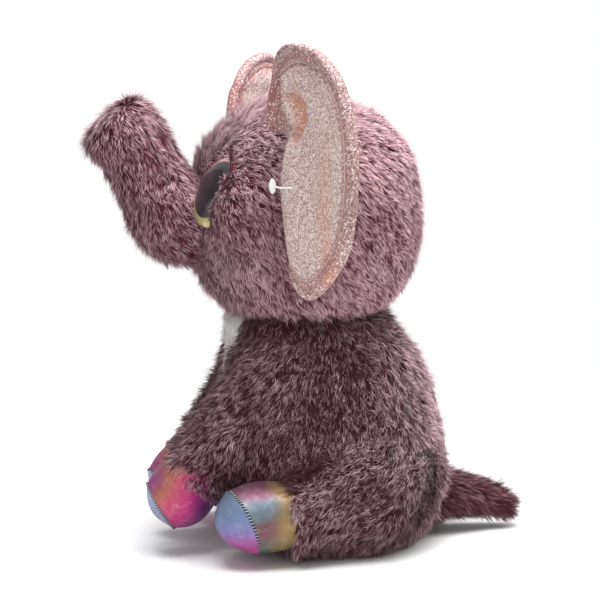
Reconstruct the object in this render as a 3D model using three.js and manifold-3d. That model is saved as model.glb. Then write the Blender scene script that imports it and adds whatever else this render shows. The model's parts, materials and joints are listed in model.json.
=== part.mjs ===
// A sitting plush elephant with a raised trunk: sewn pile-fabric covers over stuffing,
// foil feet, padded sparkle ears and domed plastic eyes. Millimetres, +Z up, facing -Y.
// The origin is on the table, under the middle of the toy.
import * as THREE from 'three';
import { mergeVertices } from 'three/addons/utils/BufferGeometryUtils.js';
import Module from 'manifold-3d';

const wasm = await Module();
wasm.setup();

// ---- driving dimensions -------------------------------------------------
const GAP = 0.35; // air between neighbouring pieces
const LEG_AIR = 0.7; // air round a leg as it swings
const PILE_FABRIC = 2.4; // backing cloth with its pile pressed down
const FOIL_FABRIC = 1.2; // metallic cloth of the feet with its lining
const EAR_FABRIC = 1.6; // sparkle cloth with its fusible lining

const BODY_HEIGHT = 112; // the pear of the body, before the head is seated in it
const BODY_HALF_DEPTH = 54; // front to back, at the widest
const BODY_HALF_WIDTH = 49; // side to side, at the widest
const BODY_Y = 12; // centre of the pear, low down
const BODY_LEAN = 12.7; // how far the shoulders come forward over the seat
const BODY_LEAN_FROM = 60; // height where they begin to
const SEAT_Z = 0; // the flat underside
const BIB_HALF_WIDTH = 15; // white chest panel
const BIB_LOW = 4; // its lower seam, above the table
const BIB_DEPTH = 0.4; // where its side seams run, as a share of the half depth
const POUCH_HALF = [26, 13, 13]; // bean pouch in the seat: across, back, up
const POUCH_BACK = 0.58; // its place behind the middle, as a share of the half depth
const POUCH_RISE = 11; // height of its middle over the seat cloth

const HEAD_RADIUS = 56;
const HEAD_SQUARENESS = 2.4; // 2 is a ball, more is boxier
const HEAD_Y = -1;
const HEAD_SINK = 16; // how deep the head sits in the top of the pear
const GUSSET_HALF_WIDTH = 15; // strip over the crown, between the two head seams
const CHIN_SEAM = -10; // height of the seam round the underside, from the head's centre
const NECK_RING_RADIUS = 25;
const NECK_RING_WIRE = 1.4; // half thickness of the gathered neck seam

const TRUNK_ROOT_RADIUS = 24; // seen from the side
const TRUNK_ROOT_HALF_WIDTH = 18.5;
const TRUNK_TIP_RADIUS = 20;
const TRUNK_RISE = 40; // height of the tip over the root
const TRUNK_REACH = 23; // how far the tip is in front of the root
const TRUNK_DOME = 8; // crown of the blunt tip

const EYE_RADIUS = 15.5;
const EYE_DOME = 8;
const EYE_PLATE = 1.6; // thickness of the printed iris plate
const EYE_POST_RADIUS = 2.2;
const EYE_POST_LENGTH = 14;
const WASHER_RADIUS = 7;
const WASHER_THICKNESS = 1.6;
const EYE_LAP = 2.3; // how far its rim laps over the trunk's side, seen from the front
const EYE_AIM = 20; // degrees from straight ahead to where the eye looks
const EYE_TILT = 0.32; // how much it looks upward
const EYE_SINK = 3.5; // how deep it is set under the pile
const EYE_LIFT = 14; // height of the eye over the head's centre

const EAR_HALF_THICKNESS = 3.4;
const EAR_SCALE = 1; // of the ear's outline
const EAR_SWEEP = { left: 16, right: 42 }; // degrees that each ear leans back
const EAR_HEM = 0.93; // where the rolled hem starts, as a share of the outline

const SHOULDER_RADIUS = 18;
const FRONT_LEG_RADIUS = 16;
const HIP_RADIUS = 27;
const HIND_ANKLE_RADIUS = 17.6;
const SOLE_THICKNESS = 2;
const TAIL_ROOT_RADIUS = 12.5;
const TAIL_TIP_RADIUS = 8;
const TAIL_LENGTH = 36;

// ---- how far each joint moves, in degrees, for the room its neighbours leave ---
const HEAD_NOD = 10; // each way
const TRUNK_DROP = 14;
const TRUNK_RAISE = 6;
const EAR_BACK = { left: 24, right: 8 };
const EAR_FORWARD = { left: 10, right: 20 };
const FRONT_LEG_LIFT = 20;
const HIND_LEG_SPREAD = 20;
const TAIL_WAG = 20; // each way

// ---- places worked out from the sizes ------------------------------------
const V = (x, y, z) => new THREE.Vector3(x, y, z);
const rad = THREE.MathUtils.degToRad;
const X_AXIS = V(1, 0, 0);
const Z_AXIS = V(0, 0, 1);
const HEAD = V(0, HEAD_Y, SEAT_Z + BODY_HEIGHT - HEAD_SINK + HEAD_RADIUS);
const TRUNK_ROOT = V(0, HEAD.y - HEAD_RADIUS - 6, HEAD.z);
const TRUNK_TIP = V(0, TRUNK_ROOT.y - TRUNK_REACH, TRUNK_ROOT.z + TRUNK_RISE);
const TAIL_ROOT = V(0, BODY_Y + BODY_HALF_DEPTH, SEAT_Z + 17);
const HIP_Z = SEAT_Z + HIP_RADIUS + 1;

// ---- solids ----------------------------------------------------------------
function solid(geometry) {
  const bare = geometry.clone();
  bare.deleteAttribute('normal');
  bare.deleteAttribute('uv');
  const merged = mergeVertices(bare, 1e-4);
  const index = merged.index.array;
  const kept = [];
  for (let i = 0; i < index.length; i += 3) {
    const [a, b, c] = [index[i], index[i + 1], index[i + 2]];
    if (a !== b && b !== c && c !== a) kept.push(a, b, c);
  }
  const vertProperties = new Float32Array(merged.attributes.position.array);
  const build = (triVerts) =>
    new wasm.Manifold(new wasm.Mesh({ numProp: 3, vertProperties, triVerts }));
  const body = build(new Uint32Array(kept));
  if (body.volume() > 0) return body;
  const turned = [];
  for (let i = 0; i < kept.length; i += 3) turned.push(kept[i], kept[i + 2], kept[i + 1]);
  return build(new Uint32Array(turned));
}

function geometryOf(body) {
  const { vertProperties, triVerts, numProp } = body.getMesh();
  const positions = new Float32Array((vertProperties.length / numProp) * 3);
  for (let i = 0; i < positions.length / 3; i++) {
    for (let k = 0; k < 3; k++) positions[3 * i + k] = vertProperties[numProp * i + k];
  }
  const geometry = new THREE.BufferGeometry();
  geometry.setAttribute('position', new THREE.BufferAttribute(positions, 3));
  geometry.setIndex(new THREE.BufferAttribute(new Uint32Array(triVerts), 1));
  return geometry;
}

const cut = (body, ...tools) => tools.reduce((left, tool) => left.subtract(tool), body);
const join = (first, ...others) => others.reduce((sum, body) => sum.add(body), first);

// A box given by its two corners.
function block(low, high) {
  const size = high.clone().sub(low);
  const box = new THREE.BoxGeometry(size.x, size.y, size.z);
  box.translate((low.x + high.x) / 2, (low.y + high.y) / 2, (low.z + high.z) / 2);
  return solid(box);
}

const FAR = 400;
const above = (z) => block(V(-FAR, -FAR, z), V(FAR, FAR, FAR));
const below = (z) => block(V(-FAR, -FAR, -FAR), V(FAR, FAR, z));
const leftOf = (x) => block(V(x, -FAR, -FAR), V(FAR, FAR, FAR));
const rightOf = (x) => block(V(-FAR, -FAR, -FAR), V(x, FAR, FAR));

function ellipsoid(centre, rx, ry, rz, around = 20, rings = 12) {
  const ball = new THREE.SphereGeometry(1, around, rings);
  ball.rotateX(Math.PI / 2);
  ball.scale(rx, ry, rz);
  ball.translate(centre.x, centre.y, centre.z);
  return solid(ball);
}

// The ball at a limb's root, with its poles on the hinge. Its room is a little wider,
// so that the corners of the faceted ball clear the room's flats as it turns.
const BALL_SIDES = 12;
function rootBall(centre, radius, along, axis, grow) {
  const ball = new THREE.SphereGeometry(1, BALL_SIDES, 8);
  ball.scale(radius + grow, along + grow, radius + grow);
  ball.applyQuaternion(new THREE.Quaternion().setFromUnitVectors(V(0, 1, 0), axis));
  ball.translate(centre.x, centre.y, centre.z);
  return solid(ball);
}
const ballRoom = (centre, radius, along, axis) =>
  rootBall(centre, radius / Math.cos(Math.PI / BALL_SIDES), along, axis, GAP);

// A turned shape whose axis runs from one point along a direction.
function turned(profile, around, from, direction) {
  const shape = new THREE.LatheGeometry(profile.map(([r, h]) => new THREE.Vector2(r, h)), around);
  const tilt = new THREE.Quaternion().setFromUnitVectors(V(0, 1, 0), direction.clone().normalize());
  shape.applyQuaternion(tilt);
  shape.translate(from.x, from.y, from.z);
  return shape;
}

// The same geometry turned about a line through a pivot.
function swung(geometry, pivot, axis, degrees) {
  const copy = geometry.clone();
  copy.translate(-pivot.x, -pivot.y, -pivot.z);
  copy.applyMatrix4(new THREE.Matrix4().makeRotationAxis(axis, rad(degrees)));
  copy.translate(pivot.x, pivot.y, pivot.z);
  return copy;
}

// Everything that a moving geometry passes through between its limits.
function sweep(geometry, pivot, axis, [least, most], sign = 1) {
  const steps = Math.max(1, Math.ceil((most - least) / 13));
  let room = solid(geometry);
  for (let i = 0; i <= steps; i++) {
    const degrees = sign * (least + ((most - least) * i) / steps);
    if (degrees !== 0) room = room.add(solid(swung(geometry, pivot, axis, degrees)));
  }
  return room;
}

// ---- materials ---------------------------------------------------------------
const finish = (color, roughness, metalness = 0, extra = {}) => () =>
  new THREE.MeshStandardMaterial({ color, roughness, metalness, ...extra });
const plumPile = finish(0x85595f, 0.95);
const palePile = finish(0xbb979c, 0.95);
const whitePile = finish(0xd9d6d2, 0.95);
const stuffing = finish(0xf1efe9, 1);
const beans = finish(0xe6e2d6, 0.7);
const sparkle = finish(0xbfa39e, 0.5, 0.3);
const hemCloth = finish(0xb98a88, 0.6, 0.2);
const pinkFoil = finish(0xb56a86, 0.35, 0.8);
const blueFoil = finish(0x8a97b8, 0.35, 0.8);
const clearPlastic = finish(0x9d8f8c, 0.08, 0, { transparent: true, opacity: 0.5 });
const irisPrint = finish(0x7a4a45, 0.3, 0.4);
const whitePlastic = finish(0xeeeeea, 0.4);
const neckThread = finish(0x5a3338, 0.9);

const elephant = new THREE.Group();
// Crumbs that a cut leaves where two neighbours pinch the cloth are thrown away.
function largest(body) {
  return body.decompose().reduce((best, piece) => (piece.volume() > best.volume() ? piece : best));
}
function add(name, body, material) {
  const mesh = new THREE.Mesh(geometryOf(largest(body)), material());
  mesh.name = name;
  elephant.add(mesh);
}

// ---- head form -------------------------------------------------------------------
function headForm(grow) {
  const radius = HEAD_RADIUS + grow;
  const rings = 10;
  const profile = [];
  for (let i = 0; i <= rings; i++) {
    const angle = rad(-90 + (180 * i) / rings);
    const out = Math.max(0, Math.cos(angle)) ** (2 / HEAD_SQUARENESS);
    const up = Math.sign(Math.sin(angle)) * Math.abs(Math.sin(angle)) ** (2 / HEAD_SQUARENESS);
    profile.push([i === 0 || i === rings ? 0 : radius * out, radius * up]);
  }
  return turned(profile, 20, HEAD, V(0, 0, 1));
}

// The room the head turns and nods in: its widest reach within the nod, all round.
function headRoomForm() {
  const rings = 16;
  const corner = Math.cos(Math.PI / 20); // its flats clear the head's corners
  const reachAt = (angle) => HEAD_RADIUS / (Math.abs(Math.cos(angle)) ** HEAD_SQUARENESS
    + Math.abs(Math.sin(angle)) ** HEAD_SQUARENESS) ** (1 / HEAD_SQUARENESS);
  const profile = [];
  for (let i = 0; i <= rings; i++) {
    const angle = -90 + (180 * i) / rings;
    let reach = 0;
    for (let nod = -HEAD_NOD; nod <= HEAD_NOD; nod += 2) {
      reach = Math.max(reach, reachAt(rad(angle + nod)));
    }
    reach = reach / corner + GAP;
    const out = i === 0 || i === rings ? 0 : reach * Math.cos(rad(angle));
    profile.push([out, reach * Math.sin(rad(angle))]);
  }
  return turned(profile, 20, HEAD, V(0, 0, 1));
}

// Distance of the head's surface from its centre line, a height above the centre.
const headReach = (height) =>
  HEAD_RADIUS * (1 - (Math.abs(height) / HEAD_RADIUS) ** HEAD_SQUARENESS) ** (1 / HEAD_SQUARENESS);

// ---- limbs -------------------------------------------------------------------------
// A straight tapering limb: stations give the distance from the root and the radius.
function limbProfile(stations, grow) {
  const first = stations[0];
  const last = stations[stations.length - 1];
  const ends = stations.map(([h, r]) => [r + grow, h + (h === last[0] ? grow : 0)]);
  return [[0, first[0] - grow], ...ends, [0, last[0] + grow]];
}

function limb(root, tip, stations, grow, around) {
  return turned(limbProfile(stations, grow), around, root, tip.clone().sub(root));
}

// ---- trunk ---------------------------------------------------------------------------
const TRUNK_BEND = V(0, TRUNK_ROOT.y - 0.5 * TRUNK_REACH, TRUNK_ROOT.z + 0.4 * TRUNK_RISE);
function trunkTube(grow) {
  const path = new THREE.CatmullRomCurve3([TRUNK_ROOT, TRUNK_BEND, TRUNK_TIP]);
  const rootR = TRUNK_ROOT_RADIUS - 1;
  const profile = [[0, 0]];
  const steps = 4;
  for (let i = 0; i <= steps; i++) {
    profile.push([THREE.MathUtils.lerp(rootR, TRUNK_TIP_RADIUS, i / steps) + grow, i / steps]);
  }
  profile.push([TRUNK_TIP_RADIUS * 0.72 + grow, 1 + 0.6 * (TRUNK_DOME + grow) / TRUNK_RISE]);
  profile.push([0, 1 + (TRUNK_DOME + grow) / TRUNK_RISE]);
  const tube = new THREE.LatheGeometry(profile.map(([r, t]) => new THREE.Vector2(r, t)), 14);
  const position = tube.attributes.position;
  const across = TRUNK_ROOT_HALF_WIDTH / TRUNK_ROOT_RADIUS;
  for (let i = 0; i < position.count; i++) {
    const t = position.getY(i);
    const along = path.getTangent(Math.min(1, t));
    const centre = path.getPoint(Math.min(1, t));
    centre.addScaledVector(along, Math.max(0, t - 1) * TRUNK_RISE);
    const up = V(0, -along.z, along.y);
    const wide = THREE.MathUtils.lerp(across, 0.95, Math.min(1, t));
    centre.addScaledVector(V(1, 0, 0), position.getX(i) * wide);
    centre.addScaledVector(up, position.getZ(i));
    position.setXYZ(i, centre.x, centre.y, centre.z);
  }
  return tube;
}
const trunkBall = (grow) =>
  rootBall(TRUNK_ROOT, TRUNK_ROOT_RADIUS, TRUNK_ROOT_HALF_WIDTH, X_AXIS, grow);
const trunkSocket = ballRoom(TRUNK_ROOT, TRUNK_ROOT_RADIUS, TRUNK_ROOT_HALF_WIDTH, X_AXIS);

const headSeenByTrunk = (grow) =>
  sweep(headForm(grow), TRUNK_ROOT, X_AXIS, [-TRUNK_DROP, TRUNK_RAISE]);

const trunkCover = cut(solid(trunkTube(0)), headSeenByTrunk(GAP), trunkBall(GAP));
const trunkCore = join(
  trunkBall(0),
  cut(solid(trunkTube(-PILE_FABRIC - GAP)), headSeenByTrunk(GAP + PILE_FABRIC)),
);
const trunkShell = cut(trunkCover, solid(trunkTube(-PILE_FABRIC)));
const tipNormal = TRUNK_TIP.clone().sub(TRUNK_BEND).normalize();
function beyondTip(offset) {
  const start = TRUNK_TIP.clone().addScaledVector(tipNormal, offset);
  return solid(turned([[0, 0], [60, 0], [60, 60], [0, 60]], 4, start, tipNormal));
}
add('trunk_stuffing', trunkCore, stuffing);
add('trunk_left_panel', cut(trunkShell, rightOf(GAP / 2), beyondTip(0)), plumPile);
add('trunk_right_panel', cut(trunkShell, leftOf(-GAP / 2), beyondTip(0)), plumPile);
add('trunk_tip_panel', trunkShell.intersect(beyondTip(GAP)), palePile);

// ---- eyes --------------------------------------------------------------------------------
function eye(side) {
  const aim = rad(EYE_AIM);
  const reach = headReach(EYE_LIFT) - EYE_SINK;
  const rise = Math.min(1, EYE_LIFT / TRUNK_ROOT_RADIUS);
  const trunkSide = TRUNK_ROOT_HALF_WIDTH * Math.sqrt(1 - rise * rise);
  const turn = Math.asin((trunkSide + EYE_RADIUS - EYE_LAP) / reach);
  const centre = V(side * reach * Math.sin(turn), HEAD.y - reach * Math.cos(turn), HEAD.z + EYE_LIFT);
  const look = V(side * Math.sin(aim), -Math.cos(aim), EYE_TILT).normalize();
  const seat = -2;
  const lens = [[0, seat + GAP / 2], [EYE_RADIUS, seat + GAP / 2]];
  for (let i = 1; i <= 5; i++) {
    const angle = rad((90 * i) / 5);
    const radius = i === 5 ? 0 : EYE_RADIUS * Math.cos(angle);
    lens.push([radius, seat + 1 + (EYE_DOME - 1) * Math.sin(angle)]);
  }
  const plateBack = seat - GAP / 2 - EYE_PLATE;
  const plate = [
    [0, plateBack - EYE_POST_LENGTH], [EYE_POST_RADIUS, plateBack - EYE_POST_LENGTH],
    [EYE_POST_RADIUS, plateBack], [EYE_RADIUS - 0.5, plateBack],
    [EYE_RADIUS - 0.5, seat - GAP / 2], [0, seat - GAP / 2],
  ];
  const washerBack = plateBack - PILE_FABRIC - 3 * GAP - WASHER_THICKNESS;
  const bore = EYE_POST_RADIUS + GAP;
  const washer = [
    [bore, washerBack], [WASHER_RADIUS, washerBack],
    [WASHER_RADIUS, washerBack + WASHER_THICKNESS], [bore, washerBack + WASHER_THICKNESS],
    [bore, washerBack],
  ];
  const pocket = [
    [0, plateBack - EYE_POST_LENGTH - GAP], [bore, plateBack - EYE_POST_LENGTH - GAP],
    [bore, washerBack - GAP], [WASHER_RADIUS + GAP, washerBack - GAP],
    [WASHER_RADIUS + GAP, washerBack + WASHER_THICKNESS + GAP],
    [bore, washerBack + WASHER_THICKNESS + GAP], [bore, plateBack - GAP],
    [EYE_RADIUS + GAP, plateBack - GAP], [EYE_RADIUS + GAP, 30], [0, 30],
  ];
  const make = (profile, around) => solid(turned(profile, around, centre, look));
  return {
    lens: make(lens, 18),
    plate: make(plate, 18),
    washer: make(washer, 12),
    pocket: make(pocket, 18),
  };
}
const eyes = { left: eye(1), right: eye(-1) };
for (const [side, parts] of Object.entries(eyes)) {
  add(`eye_${side}_lens`, parts.lens, clearPlastic);
  add(`eye_${side}_iris_plate`, parts.plate, irisPrint);
  add(`eye_${side}_washer`, parts.washer, whitePlastic);
}

// ---- ears ----------------------------------------------------------------------------------
// Flat outline, out from the root and up from the head's centre, before it is curled.
const EAR_OUTLINE = [
  [-5, 36], [-2, 55], [6, 71], [20, 79], [36, 71], [47, 52], [54, 20], [48, -3], [35, -19],
  [19, -30], [7, -22], [1, -4], [0, 18],
];
const EAR_MIDDLE = [24, 24];
const EAR_ORIGIN = V(HEAD_RADIUS - 9, HEAD.y - 14, HEAD.z);
const EAR_HINGE = V(HEAD_RADIUS - 4, HEAD.y - 13, HEAD.z);
const bell = (x, middle, width) => Math.exp(-(((x - middle) / width) ** 2));
const ramp = THREE.MathUtils.smoothstep;

// How far the ear's middle sheet stands forward of its flat plane.
function earCurl(out, up) {
  const low = 1 - ramp(up, 25, 46);
  const high = ramp(up, 28, 50);
  const cupTop = 1 - ramp(up, 60, 78);
  return 7 * bell(out, 13, 12) * low + 10 * bell(out, -3, 9) * high
    - 3 * bell(out, 11, 7) * high * cupTop + 6 * ramp(up, 55, 80) + 1;
}

const earLoop = new THREE.CatmullRomCurve3(EAR_OUTLINE.map(([p, q]) => V(p, q, 0)), true);
const EAR_SEGMENTS = 20;

// A lathe ring shape laid over the curled sheet: share of the outline, height off the sheet.
function earLayer(profile, side) {
  const layer = new THREE.LatheGeometry(profile.map(([r, h]) => new THREE.Vector2(r, h)), EAR_SEGMENTS);
  const position = layer.attributes.position;
  const sweepBack = rad(side > 0 ? EAR_SWEEP.left : EAR_SWEEP.right);
  for (let i = 0; i < position.count; i++) {
    const [a, height, b] = [position.getX(i), position.getY(i), position.getZ(i)];
    const share = Math.hypot(a, b);
    const turn = (Math.atan2(b, a) / (2 * Math.PI) + 1) % 1;
    const edge = earLoop.getPoint(turn);
    const out = EAR_SCALE * THREE.MathUtils.lerp(EAR_MIDDLE[0], edge.x, share);
    const up = EAR_SCALE * THREE.MathUtils.lerp(EAR_MIDDLE[1], edge.y, share);
    const forward = earCurl(out / EAR_SCALE, up / EAR_SCALE) + height;
    position.setXYZ(
      i,
      side * (EAR_ORIGIN.x + out * Math.cos(sweepBack) + forward * Math.sin(sweepBack)),
      EAR_ORIGIN.y + out * Math.sin(sweepBack) - forward * Math.cos(sweepBack),
      EAR_ORIGIN.z + up,
    );
  }
  return solid(layer);
}

const T = EAR_HALF_THICKNESS;
const slab = (first, second, edge) => [[0, first], [0.4, first], [0.72, first], [edge, first],
  [edge, second], [0.72, second], [0.4, second], [0, second]];
const inside = EAR_HEM - 0.02;
const hemProfile = [[EAR_HEM, -T * 0.8], [1.0, -T * 0.8], [1.04, 0], [1.0, T * 0.8],
  [EAR_HEM, T * 0.8], [EAR_HEM, -T * 0.8]];

// The tag fastener: a thin pin through the front cloth of the left ear, with an oval paddle.
const PIN_RADIUS = 0.45;
const pinStart = V(EAR_ORIGIN.x + 17.5, EAR_ORIGIN.y - 5, EAR_ORIGIN.z + 17);
const pinAim = V(-0.62, -0.78, 0).normalize();
const PIN_LENGTH = 9.5;
const alongPin = (distance) => pinStart.clone().addScaledVector(pinAim, distance);
const rod = (radius, from, to, around = 8) => {
  const length = from.distanceTo(to);
  return solid(turned([[0, 0], [radius, 0], [radius, length], [0, length]], around, from,
    to.clone().sub(from)));
};
const crossbar = (grow) => rod(PIN_RADIUS + grow, alongPin(0).add(V(0, 0, -3 - grow)),
  alongPin(0).add(V(0, 0, 3 + grow)));
function paddle() {
  const plate = new THREE.CylinderGeometry(1, 1, 1, 14);
  plate.scale(1.5, 0.9, 3.3);
  plate.rotateZ(Math.PI / 2);
  plate.rotateZ(0.35);
  const centre = alongPin(PIN_LENGTH);
  plate.translate(centre.x, centre.y, centre.z);
  return solid(plate);
}
const fastener = join(rod(PIN_RADIUS, alongPin(0), alongPin(PIN_LENGTH)), crossbar(0), paddle());
const fastenerRoom = join(rod(PIN_RADIUS + GAP, alongPin(-1), alongPin(PIN_LENGTH + 3)),
  crossbar(GAP));

for (const [side, sign] of [['left', 1], ['right', -1]]) {
  const hinge = V(sign * EAR_HINGE.x, EAR_HINGE.y, EAR_HINGE.z);
  const headRoom = sweep(headForm(GAP), hinge, Z_AXIS, [-EAR_FORWARD[side], EAR_BACK[side]], -sign);
  const room = sign > 0 ? [headRoom, fastenerRoom] : [headRoom];
  const cloth = T - EAR_FABRIC;
  add(`ear_${side}_front_panel`, cut(earLayer(slab(cloth, T, inside), sign), ...room), sparkle);
  add(`ear_${side}_back_panel`, cut(earLayer(slab(-T, -cloth, inside), sign), ...room), sparkle);
  add(`ear_${side}_padding`,
    cut(earLayer(slab(cloth - GAP, -cloth + GAP, inside), sign), ...room), stuffing);
  add(`ear_${side}_hem`, cut(earLayer(hemProfile, sign), ...room), hemCloth);
}
add('tag_fastener', fastener, whitePlastic);

// ---- head ---------------------------------------------------------------------------------------
const headCuts = [trunkSocket, eyes.left.pocket, eyes.right.pocket];
const headShell = cut(solid(headForm(0)), solid(headForm(-PILE_FABRIC)), ...headCuts);
const strip = block(V(-GUSSET_HALF_WIDTH, -FAR, -FAR), V(GUSSET_HALF_WIDTH, FAR, FAR));
const chinSeamZ = HEAD.z + CHIN_SEAM;
add('head_stuffing', cut(solid(headForm(-PILE_FABRIC - GAP)), ...headCuts), stuffing);
add('head_left_panel', cut(headShell, rightOf(GUSSET_HALF_WIDTH + GAP)), plumPile);
add('head_right_panel', cut(headShell, leftOf(-GUSSET_HALF_WIDTH - GAP)), plumPile);
add('head_crown_gusset', cut(headShell.intersect(strip), below(chinSeamZ)), palePile);
add('head_underside_panel', cut(headShell.intersect(strip), above(chinSeamZ - GAP)), plumPile);

// ---- legs -----------------------------------------------------------------------------------------
// Each leg has a ball at its root, seated in the body, a pile sleeve, a foil foot and a sole.
function leg(spec, sign) {
  const at = ([x, y, z]) => V(sign * x, y, z);
  const root = at(spec.root);
  const sole = at(spec.sole);
  const length = root.distanceTo(sole);
  const aim = sole.clone().sub(root).normalize();
  const ankle = length - spec.foot;
  const rootR = spec.rootRadius;
  const footR = spec.ankleRadius;
  const upper = [[0, rootR], [ankle * 0.35, rootR * 0.97], [ankle, footR]];
  const lower = [[ankle, footR], [ankle + spec.foot * 0.4, footR], [length - 4, footR * 0.95],
    [length, footR * 0.76]];
  const whole = [...upper, ...lower.slice(1)];
  const ball = (grow) => rootBall(root, rootR, rootR, spec.hinge, grow);
  const place = (stations, grow) => limb(root, sole, stations, grow, 12);
  const shape = (stations, grow) => solid(place(stations, grow));
  const cutAt = (distance) => solid(turned([[0, 0], [90, 0], [90, 90], [0, 90]], 4,
    root.clone().addScaledVector(aim, distance), aim));
  const past = cutAt(ankle);
  const sleeve = cut(shape(whole, 0), shape(whole, -PILE_FABRIC), ball(GAP), past);
  const footShell = cut(shape(whole, 0), shape(whole, -FOIL_FABRIC)).intersect(cutAt(ankle + GAP));
  const soleFrom = length - SOLE_THICKNESS;
  const solePad = cut(shape(whole, 0), cut(shape(whole, 30), cutAt(soleFrom)));
  const sweepPast = sweep(place(whole, LEG_AIR), root, spec.hinge, [0, spec.travel], spec.turn(sign));
  const core = join(ball(0), cut(shape(whole, -PILE_FABRIC - GAP), cutAt(soleFrom - GAP)));
  return {
    sleeve,
    foot: cut(footShell, cutAt(soleFrom - GAP)),
    sole: solePad,
    core,
    room: join(sweepPast, ballRoom(root, rootR + LEG_AIR - GAP, rootR + LEG_AIR - GAP, spec.hinge)),
  };
}
const legs = {
  front_leg: {
    root: [20, BODY_Y - 0.7 * BODY_HALF_DEPTH, SEAT_Z + 0.7 * BODY_HEIGHT],
    sole: [16, BODY_Y - 1.52 * BODY_HALF_DEPTH, SEAT_Z + 15],
    rootRadius: SHOULDER_RADIUS,
    ankleRadius: FRONT_LEG_RADIUS,
    foot: 23,
    hinge: X_AXIS,
    travel: FRONT_LEG_LIFT,
    turn: () => -1,
  },
  hind_leg: {
    root: [30, BODY_Y, HIP_Z],
    sole: [45, BODY_Y - 1.12 * BODY_HALF_DEPTH, SEAT_Z + HIND_ANKLE_RADIUS + 0.6],
    rootRadius: HIP_RADIUS,
    ankleRadius: HIND_ANKLE_RADIUS,
    foot: 27,
    hinge: Z_AXIS,
    travel: HIND_LEG_SPREAD,
    turn: (sign) => sign,
  },
};
const legRooms = [];
for (const [name, spec] of Object.entries(legs)) {
  for (const [side, sign] of [['left', 1], ['right', -1]]) {
    const parts = leg(spec, sign);
    const node = `${name}_${side}`;
    add(`${node}_sleeve`, parts.sleeve, plumPile);
    add(`${node}_stuffing`, parts.core, stuffing);
    add(`${node}_foot`, parts.foot, pinkFoil);
    add(`${node}_sole`, parts.sole, blueFoil);
    legRooms.push(parts.room);
  }
}

// ---- tail --------------------------------------------------------------------------------------------
const tailEnd = TAIL_ROOT.clone().add(V(0, TAIL_LENGTH, -6));
const tailStations = [[0, TAIL_ROOT_RADIUS], [TAIL_LENGTH * 0.5, TAIL_ROOT_RADIUS * 0.86],
  [TAIL_LENGTH * 0.9, TAIL_TIP_RADIUS], [TAIL_LENGTH * 1.06, TAIL_TIP_RADIUS * 0.5]];
const tailBall = (grow) =>
  rootBall(TAIL_ROOT, TAIL_ROOT_RADIUS, TAIL_ROOT_RADIUS, Z_AXIS, grow);
const tailTube = (grow) => limb(TAIL_ROOT, tailEnd, tailStations, grow, 12);
const tailRoom = join(
  sweep(tailTube(GAP), TAIL_ROOT, Z_AXIS, [-TAIL_WAG, TAIL_WAG]),
  ballRoom(TAIL_ROOT, TAIL_ROOT_RADIUS, TAIL_ROOT_RADIUS, Z_AXIS),
);
add('tail_cover', cut(solid(tailTube(0)), solid(tailTube(-PILE_FABRIC)), tailBall(GAP)), plumPile);
add('tail_stuffing', join(tailBall(0), solid(tailTube(-PILE_FABRIC - GAP))), stuffing);

// ---- body -----------------------------------------------------------------------------------------------
function bodyForm(grow) {
  const tall = BODY_HEIGHT;
  const wide = BODY_HALF_DEPTH;
  const outline = [[0.66, 0], [0.86, 0.08], [0.98, 0.24], [1, 0.42], [0.94, 0.6],
    [0.89, 0.69], [0.84, 0.81], [0.76, 0.94], [0.6, 1]];
  const profile = outline.map(([r, h]) => [r * wide + grow, h * tall + (h === 0 ? -grow : 0)]);
  const last = profile[profile.length - 1];
  last[1] += grow;
  const pear = turned([[0, profile[0][1]], ...profile, [0, last[1]]], 20, V(0, 0, 0), Z_AXIS);
  pear.scale((BODY_HALF_WIDTH + grow) / (wide + grow), 1, 1);
  const position = pear.attributes.position;
  for (let i = 0; i < position.count; i++) {
    const risen = Math.max(0, position.getZ(i) - BODY_LEAN_FROM) / (0.94 * tall - BODY_LEAN_FROM);
    position.setY(i, position.getY(i) - BODY_LEAN * risen ** 2);
  }
  pear.translate(0, BODY_Y, SEAT_Z);
  return pear;
}

const ringZ = HEAD.z - headReach(0) * (1 - ((NECK_RING_RADIUS + 4) / HEAD_RADIUS)
  ** HEAD_SQUARENESS) ** (1 / HEAD_SQUARENESS) - NECK_RING_WIRE - 2.2;
function neckRing(grow) {
  const ring = new THREE.TorusGeometry(NECK_RING_RADIUS, NECK_RING_WIRE + grow, 6, 24);
  ring.translate(0, HEAD.y, ringZ);
  return solid(ring);
}
function ringGroove() {
  const [low, high] = [NECK_RING_RADIUS - NECK_RING_WIRE - 0.8, NECK_RING_RADIUS + NECK_RING_WIRE + 0.8];
  const depth = NECK_RING_WIRE + 0.8;
  const profile = [[low, -depth], [high, -depth], [high, 40], [low, 40], [low, -depth]];
  return solid(turned(profile, 24, V(0, HEAD.y, ringZ), Z_AXIS));
}
add('neck_seam_ring', neckRing(0), neckThread);

const bodyCuts = [solid(headRoomForm()), tailRoom, ...legRooms, ringGroove()];
const bodyShell = cut(solid(bodyForm(0)), solid(bodyForm(-PILE_FABRIC)), ...bodyCuts);
const bibFront = BODY_Y - BIB_DEPTH * BODY_HALF_DEPTH;
const bib = block(V(-BIB_HALF_WIDTH, -FAR, SEAT_Z + BIB_LOW), V(BIB_HALF_WIDTH, bibFront, FAR));
const bibRoom = block(V(-BIB_HALF_WIDTH - GAP, -FAR, SEAT_Z + BIB_LOW - GAP),
  V(BIB_HALF_WIDTH + GAP, bibFront + GAP, FAR));
const seatTop = SEAT_Z + PILE_FABRIC;
add('bib_panel', bodyShell.intersect(bib), whitePile);
add('seat_panel', bodyShell.intersect(below(seatTop)), plumPile);
const sides = cut(bodyShell, bibRoom, below(seatTop + GAP));
add('body_left_panel', cut(sides, rightOf(GAP / 2)), plumPile);
add('body_right_panel', cut(sides, leftOf(-GAP / 2)), plumPile);

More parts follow.
